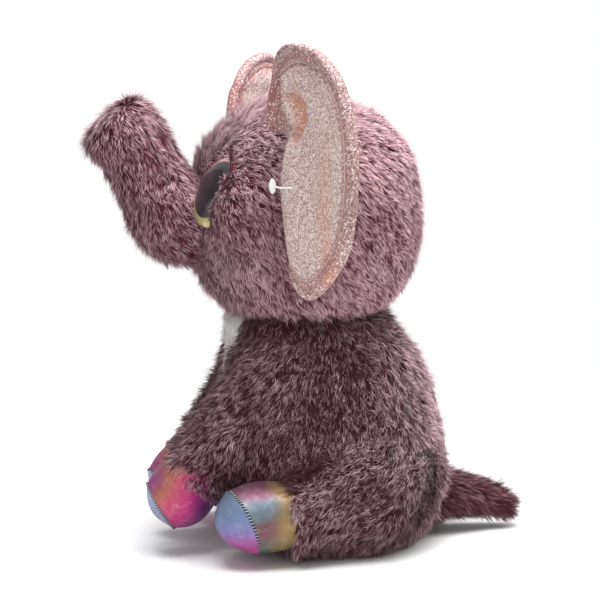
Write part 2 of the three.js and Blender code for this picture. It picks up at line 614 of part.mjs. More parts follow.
const pouchCentre = V(0, BODY_Y + POUCH_BACK * BODY_HALF_DEPTH, seatTop + POUCH_RISE);
const bodyInside = solid(bodyForm(-PILE_FABRIC - GAP));
const pouch = cut(ellipsoid(pouchCentre, ...POUCH_HALF, 14, 8).intersect(bodyInside), ...legRooms,
  tailRoom, below(seatTop + GAP));
const pouchRoom = ellipsoid(pouchCentre, ...POUCH_HALF.map((half) => half + GAP), 14, 8);
add('seat_bean_pouch', pouch, beans);
add('body_stuffing', cut(bodyInside, ...bodyCuts, pouchRoom), stuffing);

export default elephant;
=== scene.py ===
"""Looks of a sitting plush elephant: sewn pile covers, padded sparkle ears, foil feet, domed eyes."""
import json
import math

import bmesh
import bpy
import numpy as np
from mathutils import Matrix, Vector, noise


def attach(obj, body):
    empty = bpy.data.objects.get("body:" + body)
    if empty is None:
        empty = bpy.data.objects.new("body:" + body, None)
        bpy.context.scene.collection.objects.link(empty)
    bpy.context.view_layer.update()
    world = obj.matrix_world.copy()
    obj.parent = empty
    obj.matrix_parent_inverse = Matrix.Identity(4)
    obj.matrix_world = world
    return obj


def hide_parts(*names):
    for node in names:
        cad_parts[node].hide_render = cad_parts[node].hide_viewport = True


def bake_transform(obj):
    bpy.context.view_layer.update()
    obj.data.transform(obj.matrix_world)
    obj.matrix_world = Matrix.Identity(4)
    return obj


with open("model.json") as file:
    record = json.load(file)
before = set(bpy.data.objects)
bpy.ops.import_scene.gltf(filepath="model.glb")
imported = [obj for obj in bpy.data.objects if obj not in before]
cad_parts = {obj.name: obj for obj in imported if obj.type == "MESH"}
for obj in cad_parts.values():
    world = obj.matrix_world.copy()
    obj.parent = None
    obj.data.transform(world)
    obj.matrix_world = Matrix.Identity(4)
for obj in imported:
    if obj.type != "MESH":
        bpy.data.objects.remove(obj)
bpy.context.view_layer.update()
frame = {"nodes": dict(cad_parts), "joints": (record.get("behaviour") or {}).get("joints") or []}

MM = 0.001
JOINT = {joint["name"]: joint for joint in frame["joints"]}


def pivot(joint):
    return np.array(JOINT[joint]["pos_m"])


HEAD = pivot("head_turn")
TRUNK_ROOT = pivot("trunk_lift")
SIDES = {"left": 1, "right": -1}

# ---- camera ----
CAMERA_TURN = math.radians(78)  # from straight ahead of the toy, towards its left side
CAMERA_REACH = 0.900
CAMERA_HEIGHT = 0.235
AIM = Vector((0.0, -0.003, 0.112))
SEEN_WIDTH = 0.276  # of the plane through the aim point
SENSOR = 36.0


def place_camera():
    data = bpy.data.cameras.new("camera")
    camera = bpy.data.objects.new("camera", data)
    bpy.context.scene.collection.objects.link(camera)
    out = Vector((math.sin(CAMERA_TURN), -math.cos(CAMERA_TURN), 0)) * CAMERA_REACH
    eye = Vector((AIM.x + out.x, AIM.y + out.y, CAMERA_HEIGHT))
    camera.location = eye
    camera.rotation_euler = (AIM - eye).to_track_quat("-Z", "Y").to_euler()
    data.sensor_width = SENSOR
    data.lens = SENSOR * (AIM - eye).length / SEEN_WIDTH
    bpy.context.scene.camera = camera


place_camera()
bpy.context.scene.view_settings.view_transform = "Standard"


# ---- shader building ----
class Wire:
    """A value in a shader: Python operators on it add Math nodes."""

    def __init__(self, paint, socket):
        self.paint = paint
        self.socket = socket

    def _math(self, operation, *values):
        return self.paint.node("ShaderNodeMath", {"operation": operation}, dict(enumerate(values)))

    def __add__(self, other):
        return self._math("ADD", self, other)

    def __sub__(self, other):
        return self._math("SUBTRACT", self, other)

    def __rsub__(self, other):
        return self._math("SUBTRACT", other, self)

    def __mul__(self, other):
        return self._math("MULTIPLY", self, other)

    def __truediv__(self, other):
        return self._math("DIVIDE", self, other)

    def __pow__(self, other):
        return self._math("POWER", self, other)

    def over(self, limit):
        return self._math("GREATER_THAN", self, limit)

    def ramp(self, low, high):
        """0 below low, 1 above high, smooth between."""
        return self.paint.node(
            "ShaderNodeMapRange",
            {"interpolation_type": "SMOOTHSTEP"},
            {"Value": self, "From Min": low, "From Max": high},
        )


class Paint:
    """One material's node tree."""

    def __init__(self, name):
        self.material = bpy.data.materials.new(name)
        self.material.use_nodes = True
        self.tree = self.material.node_tree
        self.shader = self.tree.nodes["Principled BSDF"]

    def node(self, kind, settings=None, inputs=None, output=0):
        made = self.tree.nodes.new(kind)
        for key, value in (settings or {}).items():
            if key == "stops":
                self._stops(made.color_ramp, value)
            else:
                setattr(made, key, value)
        self._fill(made, inputs or {})
        return Wire(self, made.outputs[output])

    def _stops(self, ramp, stops):
        for place, colour in stops[2:]:
            ramp.elements.new(place)
        for element, (place, colour) in zip(ramp.elements, stops):
            element.position = place
            element.color = (*colour, 1)

    def _fill(self, made, inputs):
        for key, value in inputs.items():
            socket = made.inputs[key]
            if isinstance(value, Wire):
                self.tree.links.new(value.socket, socket)
            elif socket.type == "RGBA":
                socket.default_value = (*value, 1)
            else:
                socket.default_value = value

    def set(self, **inputs):
        self._fill(self.shader, {key.replace("_", " "): value for key, value in inputs.items()})
        return self.material

    def place(self, centre=(0, 0, 0), turn=(0, 0, 0)):
        """Object coordinates, measured from a centre and along turned axes."""
        spot = self.node("ShaderNodeTexCoord", output=3)
        return self.node(
            "ShaderNodeMapping",
            {"vector_type": "TEXTURE"},
            {"Vector": spot, "Location": tuple(centre), "Rotation": tuple(turn)},
        )

    def axes(self, vector):
        made = self.tree.nodes.new("ShaderNodeSeparateXYZ")
        self.tree.links.new(vector.socket, made.inputs[0])
        return [Wire(self, made.outputs[i]) for i in range(3)]

    def noise(self, vector, scale, detail=2.0):
        return self.node("ShaderNodeTexNoise", {},
                         {"Vector": vector, "Scale": scale, "Detail": detail})

    def flakes(self, vector, scale):
        """Three random numbers for each small cell: a Voronoi colour, taken apart."""
        return self.axes(self.node("ShaderNodeTexVoronoi", {}, {"Vector": vector, "Scale": scale},
                                   output=1))

    def mix(self, share, a, b):
        """Colour a where share is 0, colour b where it is 1."""
        return self.node("ShaderNodeMix", {"data_type": "RGBA"}, {0: share, 6: a, 7: b}, output=2)

    def bump(self, height, strength, distance):
        return self.node("ShaderNodeBump", {},
                         {"Height": height, "Strength": strength, "Distance": distance})


# ---- finishes ----
SHADE_UV = "OFBake"  # across: how pale a hair is; up: from its root to its tip
FROST_LOW, FROST_SPAN = 0.78, 0.70  # where a dark hair turns pale, and how much lower a pale one does
FROST_BLEND = 0.45  # share of the hair over which it turns


def pile_hair(name, root, dull_tip, pale_tip):
    """Frosted pile: each hair is dark at the root and pale from some way up."""
    paint = Paint(name)
    shade, along, _ = paint.axes(paint.node("ShaderNodeUVMap", {"uv_map": SHADE_UV}))
    start = FROST_LOW - shade * FROST_SPAN
    frosting = ((along - start) / FROST_BLEND).ramp(0.0, 1.0)
    tip = paint.mix(shade, dull_tip, pale_tip)
    colour = paint.mix(frosting, root, tip)
    return paint.set(Base_Color=colour, Roughness=0.86, Sheen_Weight=0.15, Sheen_Roughness=0.5,
                     Specular_IOR_Level=0.25)


def darker(colour, share):
    return tuple(share * c for c in colour)


def pile_backing(name, colour):
    """Knitted cloth under the pile, blotched darker."""
    paint = Paint(name)
    spot = paint.place()
    blotch = paint.noise(spot, 260.0, 3.0)
    weave = paint.noise(spot, 1500.0)
    return paint.set(
        Base_Color=paint.mix(blotch, darker(colour, 0.55), colour),
        Roughness=0.95,
        Specular_IOR_Level=0.1,
        Normal=paint.bump(weave, 0.4, 0.0006),
    )


# painted light: the peach glow where light shines through the ear's folds
FOLD_GLOW_PEACH = (0.60, 0.22, 0.10)
# rose of the seams, also the painted shade on the ear's front rim and in the groove beside it
SEAM_ROSE_AND_SHADE = (0.34, 0.125, 0.12)
SPARK = (0.93, 0.86, 0.85)


def sparkle_cloth(name, dull, bright):
    """Cloth covered in tiny glitter flakes, with painted peach light in the ear's folds, and rose along
    its seams with painted shade on the front rim and in the groove beside it.
    """
    paint = Paint(name)
    spot = paint.place()
    lit, tilt, pick = paint.flakes(spot, 1750.0)
    cloud = paint.noise(spot, 60.0, 2.0)
    colour = paint.mix((lit + cloud * 0.4).ramp(0.3, 1.0), dull, bright)
    # Painted peach light in the ear's folds, then the seams' rose with painted shade on the front rim
    # and in its groove
    for attribute, tint, strength in (("peach", FOLD_GLOW_PEACH, 1.0), ("rose", SEAM_ROSE_AND_SHADE, 0.95)):
        share = paint.node("ShaderNodeAttribute", {"attribute_name": attribute}, output=2)
        colour = paint.mix(share * (strength - lit * 0.35), colour, tint)
    spark = pick.over(0.88)
    colour = paint.mix(spark * 0.7, colour, SPARK)
    return paint.set(
        Base_Color=colour,
        Metallic=spark * 0.4 + 0.05,
        Roughness=0.68 - tilt * 0.2,
        Normal=paint.bump(lit, 0.6, 0.0004),
    )


def plain_plastic(name, colour, roughness):
    paint = Paint(name)
    cloud = paint.noise(paint.place(), 300.0)
    return paint.set(Base_Color=paint.mix(cloud, darker(colour, 0.93), colour),
                     Roughness=cloud * 0.08 + roughness)


def thread_finish(name, colour):
    paint = Paint(name)
    twist = paint.noise(paint.place(), 2500.0)
    return paint.set(Base_Color=paint.mix(twist, darker(colour, 0.6), colour), Roughness=0.8,
                     Normal=paint.bump(twist, 0.5, 0.0003))


plum_hair = pile_hair("plum_pile", (0.125, 0.020, 0.038), (0.32, 0.13, 0.17), (0.80, 0.55, 0.60))
tail_hair = pile_hair("tail_pile", (0.070, 0.012, 0.020), (0.16, 0.055, 0.075), (0.50, 0.30, 0.34))
white_hair = pile_hair("white_pile", (0.80, 0.78, 0.75), (0.88, 0.86, 0.84), (0.95, 0.94, 0.92))
# Body and legs: deeper roots and more contrast than the head's pile, and darker still as painted shade
# of the body under the head.
deep_shaded_hair = pile_hair("plum_pile_deep_shaded", (0.058, 0.008, 0.016), (0.24, 0.085, 0.115),
                      (0.84, 0.60, 0.65))
plum_backing = pile_backing("plum_backing", (0.10, 0.026, 0.036))
white_backing = pile_backing("white_backing", (0.85, 0.83, 0.80))
ear_cloth = sparkle_cloth("ear_sparkle", (0.34, 0.215, 0.20), (0.66, 0.52, 0.49))
# A deeper rose than the ear, darkened further as painted shade on the rolled hem.
hem_cloth = sparkle_cloth("ear_hem_cloth", (0.20, 0.09, 0.085), (0.50, 0.33, 0.32))
ear_thread = thread_finish("ear_thread", (0.74, 0.60, 0.58))
dark_thread = thread_finish("foot_thread_dark", (0.012, 0.012, 0.014))
pale_thread = thread_finish("foot_thread_pale", (0.65, 0.66, 0.68))


# ---- mesh building ----
def put_in_scene(name, data):
    made = bpy.data.objects.new(name, data)
    bpy.context.scene.collection.objects.link(made)
    return made


def mesh_object(name, points, faces):
    mesh = bpy.data.meshes.new(name)
    mesh.from_pydata([tuple(p) for p in points], [], [tuple(f) for f in faces])
    mesh.validate()
    mesh.shade_smooth()
    return put_in_scene(name, mesh)


def unit(v):
    v = np.asarray(v, float)
    length = np.linalg.norm(v, axis=-1, keepdims=True)
    return v / np.maximum(length, 1e-12)


def bell(x, middle, width):
    """1 at the middle, falling off over the width."""
    return np.exp(-(((x - middle) / width) ** 2))


def step(x, low, high):
    """0 at low, 1 at high, smooth between."""
    t = np.clip((x - low) / (high - low), 0, 1)
    return t * t * (3 - 2 * t)


def tube(centres, sides, fronts, radii, around):
    """Rings of points: centre + radius * (cos * side + sin * front), joined by quads and capped."""
    angle = np.linspace(0, 2 * math.pi, around, endpoint=False)
    rings = [
        c + r * (np.outer(np.cos(angle), s) + np.outer(np.sin(angle), f))
        for c, s, f, r in zip(centres, sides, fronts, radii)
    ]
    points = np.concatenate(rings)
    faces = []
    for i in range(len(rings) - 1):
        for k in range(around):
            n = (k + 1) % around
            faces.append((i * around + k, i * around + n, (i + 1) * around + n, (i + 1) * around + k))
    for ring, centre, flip in ((0, centres[0], True), (len(rings) - 1, centres[-1], False)):
        points = np.vstack([points, centre])
        tip = len(points) - 1
        for k in range(around):
            n = (k + 1) % around
            a, b = ring * around + k, ring * around + n
            faces.append((tip, b, a) if flip else (tip, a, b))
    return points, faces


def spline(points, samples):
    """Smooth curve through rows of numbers (Catmull-Rom), evenly sampled in its parameter."""
    rows = np.asarray(points, float)
    padded = np.vstack([2 * rows[0] - rows[1], rows, 2 * rows[-1] - rows[-2]])
    out = []
    for t in np.linspace(0, len(rows) - 1, samples):
        i = min(int(t), len(rows) - 2)
        f = t - i
        a, b, c, d = padded[i: i + 4]
        out.append(0.5 * (2 * b + (c - a) * f + (2 * a - 5 * b + 4 * c - d) * f**2
                          + (3 * b - a - 3 * c + d) * f**3))
    return np.array(out)


def ball(level):
    """Points and triangles of a unit ball of even triangles."""
    bm = bmesh.new()
    bmesh.ops.create_icosphere(bm, subdivisions=level, radius=1.0)
    points = np.array([v.co for v in bm.verts])
    faces = [tuple(v.index for v in f.verts) for f in bm.faces]
    bm.free()
    return points, faces


def lumps(points, scale, depth):
    """Soft unevenness of hand-stuffed cloth."""
    return np.array([depth * noise.noise(Vector(p) * scale) for p in points])


def vertex_normals(points, faces):
    normals = np.zeros_like(points)
    for f in faces:
        a, b, c = points[f[0]], points[f[1]], points[f[2]]
        n = np.cross(b - a, c - a)
        for i in f:
            normals[i] += n
    return unit(normals)


def write_attribute(obj, name, kind, values):
    attribute = obj.data.attributes.new(name, kind, "POINT")
    key = "vector" if kind == "FLOAT_VECTOR" else "value"
    attribute.data.foreach_set(key, np.ascontiguousarray(values, dtype=np.float32).ravel())


def part_of(points, faces, keep):
    """The faces whose middle is kept, with their points numbered afresh."""
    middles = np.array([np.mean([points[i] for i in f], axis=0) for f in faces])
    chosen = [f for f, k in zip(faces, keep(middles)) if k]
    used = sorted({i for f in chosen for i in f})
    place = {old: new for new, old in enumerate(used)}
    return np.array(used), [tuple(place[i] for i in f) for f in chosen]


# ---- pile ----
PILE = {  # hairs and locks are counted per square metre; lengths in metres
    "Density": 4.6e6, "Length": 0.0058, "Width": 0.00032, "Lift": 0.60, "Stray": 0.40, "Swirl": 1.1,
    "Gather": 0.45, "Locks": 3.0e5,
}
BODY_PILE = {"Stray": 0.50, "Swirl": 1.4, "Length": 0.0062, "Width": 0.00031, "Gather": 0.75}
BIB_PILE = {"Length": 0.0036, "Lift": 0.3}
SEAT_PILE = {"Length": 0.0030, "Lift": 0.05, "Density": 2.0e6}
TAIL_PILE = {"Length": 0.0085, "Lift": 0.55, "Stray": 0.4}


def pile_tree():
    """Geometry nodes: short tapering hairs, combed along the cloth and gathered in small locks."""
    tree = bpy.data.node_groups.new("pile_hairs", "GeometryNodeTree")
    tree.is_modifier = True
    face = tree.interface
    face.new_socket("Geometry", in_out="OUTPUT", socket_type="NodeSocketGeometry")
    face.new_socket("Geometry", in_out="INPUT", socket_type="NodeSocketGeometry")
    for key in PILE:
        face.new_socket(key, in_out="INPUT", socket_type="NodeSocketFloat")
    face.new_socket("Seed", in_out="INPUT", socket_type="NodeSocketInt")
    face.new_socket("Material", in_out="INPUT", socket_type="NodeSocketMaterial")
    nodes, links = tree.nodes, tree.links
    inlet = nodes.new("NodeGroupInput")
    given = {socket.name: socket for socket in inlet.outputs if socket.name}

    def node(kind, settings=None, inputs=None, output=0):
        made = nodes.new(kind)
        for key, value in (settings or {}).items():
            setattr(made, key, value)
        for key, value in (inputs or {}).items():
            socket = made.inputs[key]
            if isinstance(value, bpy.types.NodeSocket):
                links.new(value, socket)
            else:
                socket.default_value = value
        return made if output is None else made.outputs[output]

    def number(operation, a, b=0.0):
        return node("ShaderNodeMath", {"operation": operation}, {0: a, 1: b})

    def vector(operation, a, b=(0, 0, 0)):
        return node("ShaderNodeVectorMath", {"operation": operation}, {0: a, 1: b})

    def scaled(a, factor):
        return node("ShaderNodeVectorMath", {"operation": "SCALE"}, {0: a, "Scale": factor})

    def named(name, kind):
        return node("GeometryNodeInputNamedAttribute", {"data_type": kind}, {"Name": name})

    def random(low, high, seed, ident=None):
        """Even random numbers, or vectors; one for each ident where it is given."""
        kind, first, output = ("FLOAT_VECTOR", 0, 0) if isinstance(low, tuple) else ("FLOAT", 2, 1)
        inputs = {first: low, first + 1: high, "Seed": seed}
        if ident is not None:
            inputs["ID"] = ident
        return node("FunctionNodeRandomValue", {"data_type": kind}, inputs, output)

    scatter = node("GeometryNodeDistributePointsOnFaces", {}, {
        "Mesh": given["Geometry"], "Seed": given["Seed"],
        "Density": number("MULTIPLY", given["Density"], named("cover", "FLOAT"))}, None)
    roots, normal = scatter.outputs["Points"], scatter.outputs["Normal"]
    centres = node("GeometryNodeDistributePointsOnFaces", {}, {
        "Mesh": given["Geometry"], "Density": given["Locks"], "Seed": 77})

    position = node("GeometryNodeInputPosition")
    nearest = node("GeometryNodeSampleNearest", {},
                   {"Geometry": centres, "Sample Position": position})
    centre = node("GeometryNodeSampleIndex", {"data_type": "FLOAT_VECTOR"},
                  {"Geometry": centres, "Value": position, "Index": nearest})
    comb = named("comb", "FLOAT_VECTOR")
    swirl = node("ShaderNodeTexNoise", {}, {"Vector": position, "Scale": 90.0, "Detail": 1.0}, 1)
    swirl = scaled(vector("SUBTRACT", swirl, (0.5, 0.5, 0.5)), given["Swirl"])
    lock_lean = scaled(random((-1, -1, -1), (1, 1, 1), 5, nearest), given["Stray"])
    stray = scaled(random((-1, -1, -1), (1, 1, 1), 9), number("MULTIPLY", given["Stray"], 0.6))
    gather = scaled(vector("SUBTRACT", centre, position),
                    number("DIVIDE", given["Gather"], given["Length"]))
    aim = vector("ADD", comb, scaled(normal, given["Lift"]))
    for pull in (swirl, lock_lean, stray, gather):
        aim = vector("ADD", aim, pull)
    aim = vector("NORMALIZE", aim)
    turn = node("FunctionNodeAxesToRotation", {"primary_axis": "Z", "secondary_axis": "Y"},
                {"Primary Axis": aim, "Secondary Axis": normal})

    lock_shade = random(-0.17, 0.17, 15, nearest)
    hair_shade = random(-0.40, 0.40, 21)
    shade = number("ADD", named("tone", "FLOAT"), number("ADD", lock_shade, hair_shade))
    shade = node("ShaderNodeClamp", {}, {"Value": shade, "Min": 0.01, "Max": 0.97})
    length = number("MULTIPLY", given["Length"], named("length", "FLOAT"))
    length = number("MULTIPLY", length, random(0.65, 1.2, 31))
    width = number("MULTIPLY", given["Width"], random(0.7, 1.3, 37))

    # one hair: a strip of two quads, narrow at the tip, bowing back to the cloth
    strip = node("GeometryNodeMeshGrid", {},
                 {"Size X": 1.0, "Size Y": 1.0, "Vertices X": 2, "Vertices Y": 3})
    flat = node("ShaderNodeSeparateXYZ", {}, {0: position}, None)
    up = number("ADD", flat.outputs[1], 0.5)
    taper = number("SUBTRACT", 1.0, number("POWER", up, 2.2))
    bow = number("MULTIPLY", number("POWER", up, 2.0), -0.16)
    shaped = node("ShaderNodeCombineXYZ", {}, {0: number("MULTIPLY", flat.outputs[0], taper),
                                               1: bow, 2: up})
    marked = node("GeometryNodeStoreNamedAttribute", {"data_type": "FLOAT_VECTOR"},
                  {"Geometry": strip, "Name": "spot",
                   "Value": node("ShaderNodeCombineXYZ", {}, {0: flat.outputs[0], 1: up})})
    hair = node("GeometryNodeSetPosition", {}, {"Geometry": marked, "Position": shaped})
    hair = node("GeometryNodeMergeByDistance", {}, {"Geometry": hair, "Distance": 0.01})

    stored = node("GeometryNodeStoreNamedAttribute", {"data_type": "FLOAT"},
                  {"Geometry": roots, "Name": "shade", "Value": shade})
    size = node("ShaderNodeCombineXYZ", {}, {0: width, 1: length, 2: length})
    planted = node("GeometryNodeInstanceOnPoints", {},
                   {"Points": stored, "Instance": hair, "Rotation": turn, "Scale": size})
    real = node("GeometryNodeRealizeInstances", {}, {"Geometry": planted})
    spot = node("ShaderNodeSeparateXYZ", {}, {0: named("spot", "FLOAT_VECTOR")}, None)
    across = number("ADD", number("MULTIPLY", spot.outputs[0], 0.018), named("shade", "FLOAT"))
    chart = node("ShaderNodeCombineXYZ", {}, {0: across, 1: number("MULTIPLY", spot.outputs[1], 0.98)})
    mapped = node("GeometryNodeStoreNamedAttribute", {"data_type": "FLOAT2", "domain": "CORNER"},
                  {"Geometry": real, "Name": SHADE_UV, "Value": chart})
    for name in ("spot", "shade", "comb", "tone", "length", "cover"):
        mapped = node("GeometryNodeRemoveAttribute", {}, {"Geometry": mapped, "Name": name})
    done = node("GeometryNodeSetMaterial", {}, {"Geometry": mapped, "Material": given["Material"]})
    smooth = node("GeometryNodeSetShadeSmooth", {}, {"Geometry": done})
    node("NodeGroupOutput", {}, {0: smooth}, None)
    return tree


PILE_TREE = pile_tree()


def grow_pile(name, cloth, hair, **sizes):
    """Runs the pile tree on a copy of the cloth and keeps the hairs as a plain mesh."""
    source = put_in_scene(name + "_source", cloth.data.copy())
    modifier = source.modifiers.new("pile", "NODES")
    modifier.node_group = PILE_TREE
    keys = {item.name: item.identifier for item in PILE_TREE.interface.items_tree
            if item.item_type == "SOCKET" and item.in_out == "INPUT"}
    for key, value in sizes.items():
        modifier[keys[key]] = value
    modifier[keys["Material"]] = hair
    bpy.context.view_layer.update()
    graph = bpy.context.evaluated_depsgraph_get()
    mesh = bpy.data.meshes.new_from_object(source.evaluated_get(graph))
    mesh.name = name
    made = put_in_scene(name, mesh)
    bpy.data.objects.remove(source)
    mesh.materials.clear()
    mesh.materials.append(hair)
    return made


def wear(body, *dressed):
    """Pieces that ride on one body; the slot given with each is not used."""
    for piece, slot in dressed:
        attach(piece, body)


def pile_panel(name, points, faces, normals, coat, hair, backing, sizes, seed):
    """A cloth panel and its pile; the coat gives each point's comb, tone, cover and length."""
    cloth = mesh_object(name + "_cloth", points, faces)
    cloth.data.materials.append(backing)
    comb = coat["comb"]
    lie = unit(comb - np.sum(comb * normals, axis=1, keepdims=True) * normals)
    write_attribute(cloth, "comb", "FLOAT_VECTOR", lie)
    for key in ("tone", "cover", "length"):
        write_attribute(cloth, key, "FLOAT", coat[key])
    hairs = grow_pile(name + "_pile", cloth, hair, **{**PILE, **sizes, "Seed": seed})
    for key in coat:
        cloth.data.attributes.remove(cloth.data.attributes[key])
    return cloth, hairs


def sew_panels(body, points, faces, normals, coat, panels, first_seed):
    """Cuts a surface into panels that ride on one body, each a cloth with its pile."""
    for seed, (name, keep, hair, backing, slot, sizes, nodes) in enumerate(panels, first_seed):
        used, own = part_of(points, faces, keep)
        pieces = pile_panel(name, points[used], own, normals[used],
                            {key: values[used] for key, values in coat.items()},
                            hair, backing, sizes, seed)
        wear(body, *((piece, slot) for piece in pieces))
        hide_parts(*nodes)


# ---- eyes: where they sit ----
EYE_RADIUS = 0.0165
EYE_DOME = 0.0058  # how far the lens stands out
PUPIL_SHIFT = 0.0022  # the pupil sits off the middle, towards the cheek
EYE_LOOK = np.array([0.27, -0.84, 0.42])  # of the left eye
EYE_AT = np.array([0.0277, -0.0446, 0.0126])  # from the head's centre, left eye


def eye_frame(side):
    """Centre of the eye's back rim, its looking direction, and two axes across it."""
    mirror = np.array([SIDES[side], 1, 1])
    look = unit(EYE_LOOK * mirror)
    across = unit(np.cross([0, 0, 1], look))
    return HEAD + EYE_AT * mirror, look, across, np.cross(look, across)


EYES = {side: eye_frame(side) for side in SIDES}


def from_eye(points, centre, look):
    """The points from an eye's centre, how far along its look, and how far off its axis."""
    out = points - centre
    depth = out @ look
    return out, depth, np.linalg.norm(out - depth[:, None] * look, axis=1)


# ---- head ----
HEAD_RADIUS = 0.0525  # of the cloth, under the pile
HEAD_SQUARENESS = 2.32
CHEEK_SWELL = 0.0130  # how far the cheek stands out beside each eye
CHEEK_REACH = 0.017
GUSSET_HALF = 0.015
UNDER_SEAM = -0.010  # height of the underside seam, from the head's centre
TRUNK_HOLE = 0.017  # no pile is grown inside the trunk's root
EYE_TRIM = 0.006  # the pile is shorter this close to an eye
EYE_PART = 0.004  # and combed away from it this close
NEAR_EYE = 0.02  # in depth, along the eye's look


def head_surface():
    """A squarish ball with cheeks, flattened where the eyes are set in."""
    aims, faces = ball(6)
    flat = np.hypot(aims[:, 0], aims[:, 1])
    reach = HEAD_RADIUS / (flat**HEAD_SQUARENESS + np.abs(aims[:, 2]) ** HEAD_SQUARENESS) ** (
        1 / HEAD_SQUARENESS)
    reach += lumps(aims, 2.2, 0.0012)
    points = HEAD + aims * reach[:, None]
    for side, (centre, look, across, up) in EYES.items():
        rim = centre + (across * SIDES[side] * 0.95 - up * 0.35) * EYE_RADIUS - HEAD
        cheek = bell(np.linalg.norm(points - HEAD - unit(rim) * HEAD_RADIUS, axis=1), 0, CHEEK_REACH)
        points = points + aims * (CHEEK_SWELL * cheek)[:, None]
        out, depth, off = from_eye(points, centre, look)
        outer = np.clip((out @ across) * SIDES[side] / EYE_RADIUS, 0, 1)
        bowl = (off < EYE_RADIUS * (1.06 - 0.45 * outer)) & (np.abs(depth) < 0.03)
        points[bowl] -= np.clip(depth[bowl] + MM, 0, None)[:, None] * look
    return points, faces


HEAD_TONES = [  # centre, reach and how much paler, mm
    ((44, -38, 132), 14, 0.18),
    # painted shade: the dark pit under the ear
    ((50, -16, 126), 9, -0.35),
    ((48, -30, 150), 12, -0.08),
    ((30, 48, 165), 30, 0.14),
]


def build_head():
    points, faces = head_surface()
    normals = vertex_normals(points, faces)
    rel = points - HEAD
    rear = step(rel[:, 1] / HEAD_RADIUS, -0.4, 0.2)
    flank = step(np.abs(rel[:, 0]) / HEAD_RADIUS, 0.3, 0.75)
    comb = np.tile(np.array([0.0, 1.0, 0.0]), (len(points), 1))
    comb[:, 2] -= 1.4 * np.maximum(rear, flank)
    # Painted light: the crown's pile is paler, partly for the light from above, partly as its pale tips
    # show more on top.
    crown = np.clip(rel[:, 2] / HEAD_RADIUS, 0, 1)
    tone = 0.53 + 0.30 * crown**1.3 + lumps(points, 60, 0.14)
    one_side = np.column_stack([np.abs(points[:, 0]), points[:, 1:]])
    for centre, reach, amount in HEAD_TONES:
        off = np.linalg.norm(one_side - np.array(centre) * MM, axis=1)
        tone += amount * bell(off, 0, reach * MM)
    cover = np.ones(len(points))
    length = np.where(rel[:, 1] > 0.02, 0.8, 1.0)
    for centre, look, _, _ in EYES.values():
        out, depth, off = from_eye(points, centre, look)
        close_in = np.abs(depth) < NEAR_EYE
        dome = EYE_DOME * np.sqrt(np.clip(1 - (off / EYE_RADIUS) ** 2, 0, 1))
        cover[(off < EYE_RADIUS) & (depth < dome) & (depth > -NEAR_EYE)] = 0
        rim = np.clip((off - EYE_RADIUS) / EYE_TRIM, 0.6, 1)
        length = np.where(close_in, np.minimum(length, rim), length)
        away = unit(out - depth[:, None] * look)
        parted = (0.5 * np.clip(1 - (off - EYE_RADIUS) / EYE_PART, 0, 1) * close_in)[:, None]
        comb = comb * (1 - parted) + away * parted
    trunk_off = np.linalg.norm((points - TRUNK_ROOT) / np.array([0.8, 1, 1]), axis=1)
    cover[trunk_off < TRUNK_HOLE] = 0
    coat = {"comb": comb, "tone": tone, "cover": cover, "length": length}
    under = HEAD[2] + UNDER_SEAM
    panels = [
        (name, keep, plum_hair, plum_backing, "plum_pile", {}, nodes) for name, keep, nodes in (
            ("head_left", lambda m: m[:, 0] > GUSSET_HALF, ["head_left_panel"]),
            ("head_right", lambda m: m[:, 0] < -GUSSET_HALF, ["head_right_panel"]),
            ("head_crown", lambda m: (np.abs(m[:, 0]) <= GUSSET_HALF) & (m[:, 2] > under),
             ["head_crown_gusset", "head_stuffing"]),
            ("head_underside", lambda m: (np.abs(m[:, 0]) <= GUSSET_HALF) & (m[:, 2] <= under),
             ["head_underside_panel"]),
        )]
    sew_panels("head", points, faces, normals, coat, panels, 0)


# ---- limbs ----
FRONT_LEG = [(14, 2, 92, 12), (17, -6, 88, 17.5), (19, -18.5, 80, 17.5), (18.5, -33, 62, 15),
             (17, -47, 45.5, 13.8), (16.5, -56, 34.5, 13.2)]  # x, y, z and radius, mm
RIGHT_TUCK = 5.0  # the right front leg rests further back
HIND_LEG = [(20, 42, 37, 12), (25, 35, 36, 19.5), (30, 21, 31.5, 25), (34.5, 3, 27.5, 21.8),
            (41, -11, 21.5, 16.6), (43.5, -19, 19, 14.4)]
LIMBS = {
    f"{kind}_{side}": [(sign * x, y + RIGHT_TUCK * (side == "right" and kind == "front_leg"), z, r)
                       for x, y, z, r in rows]
    for kind, rows in (("front_leg", FRONT_LEG), ("hind_leg", HIND_LEG))
    for side, sign in SIDES.items()
}
CREASE = 0.0045  # its half width
UNDER_ARM = ((-0.001, 0.047), (-0.036, 0.026))  # the crease between arm and haunch: y and z, ends


def crease_shade(points):
    """Painted shade: darker pile in the crease where each arm meets the haunch."""
    a, b = np.array(UNDER_ARM)
    flat = points[:, 1:] - a
    share = np.clip(flat @ (b - a) / ((b - a) @ (b - a)), 0, 1)
    off = np.linalg.norm(flat - share[:, None] * (b - a), axis=1)
    return -0.5 * bell(off, 0, CREASE)


def lit_back_tone(points):
    """Painted light: paler pile over the back, where the body turns up to the neck."""
    return 0.34 * step(points[:, 1], 0.012, 0.060) * step(points[:, 2], 0.02, 0.06)


FILLET = 0.016  # how far from a meeting of two stuffed pieces the cloth begins to swell


def fillet(distance):
    """How much the cloth swells at a distance from the piece it meets."""
    share = np.clip(1 - np.abs(distance) / FILLET, 0, 1)
    return share**2 * FILLET / 4


def distance_to_limb(points, rows):
    path = spline(rows, 40) * MM
    off = np.linalg.norm(points[:, None] - path[None, :, :3], axis=2) - path[None, :, 3]
    return off.min(axis=1)


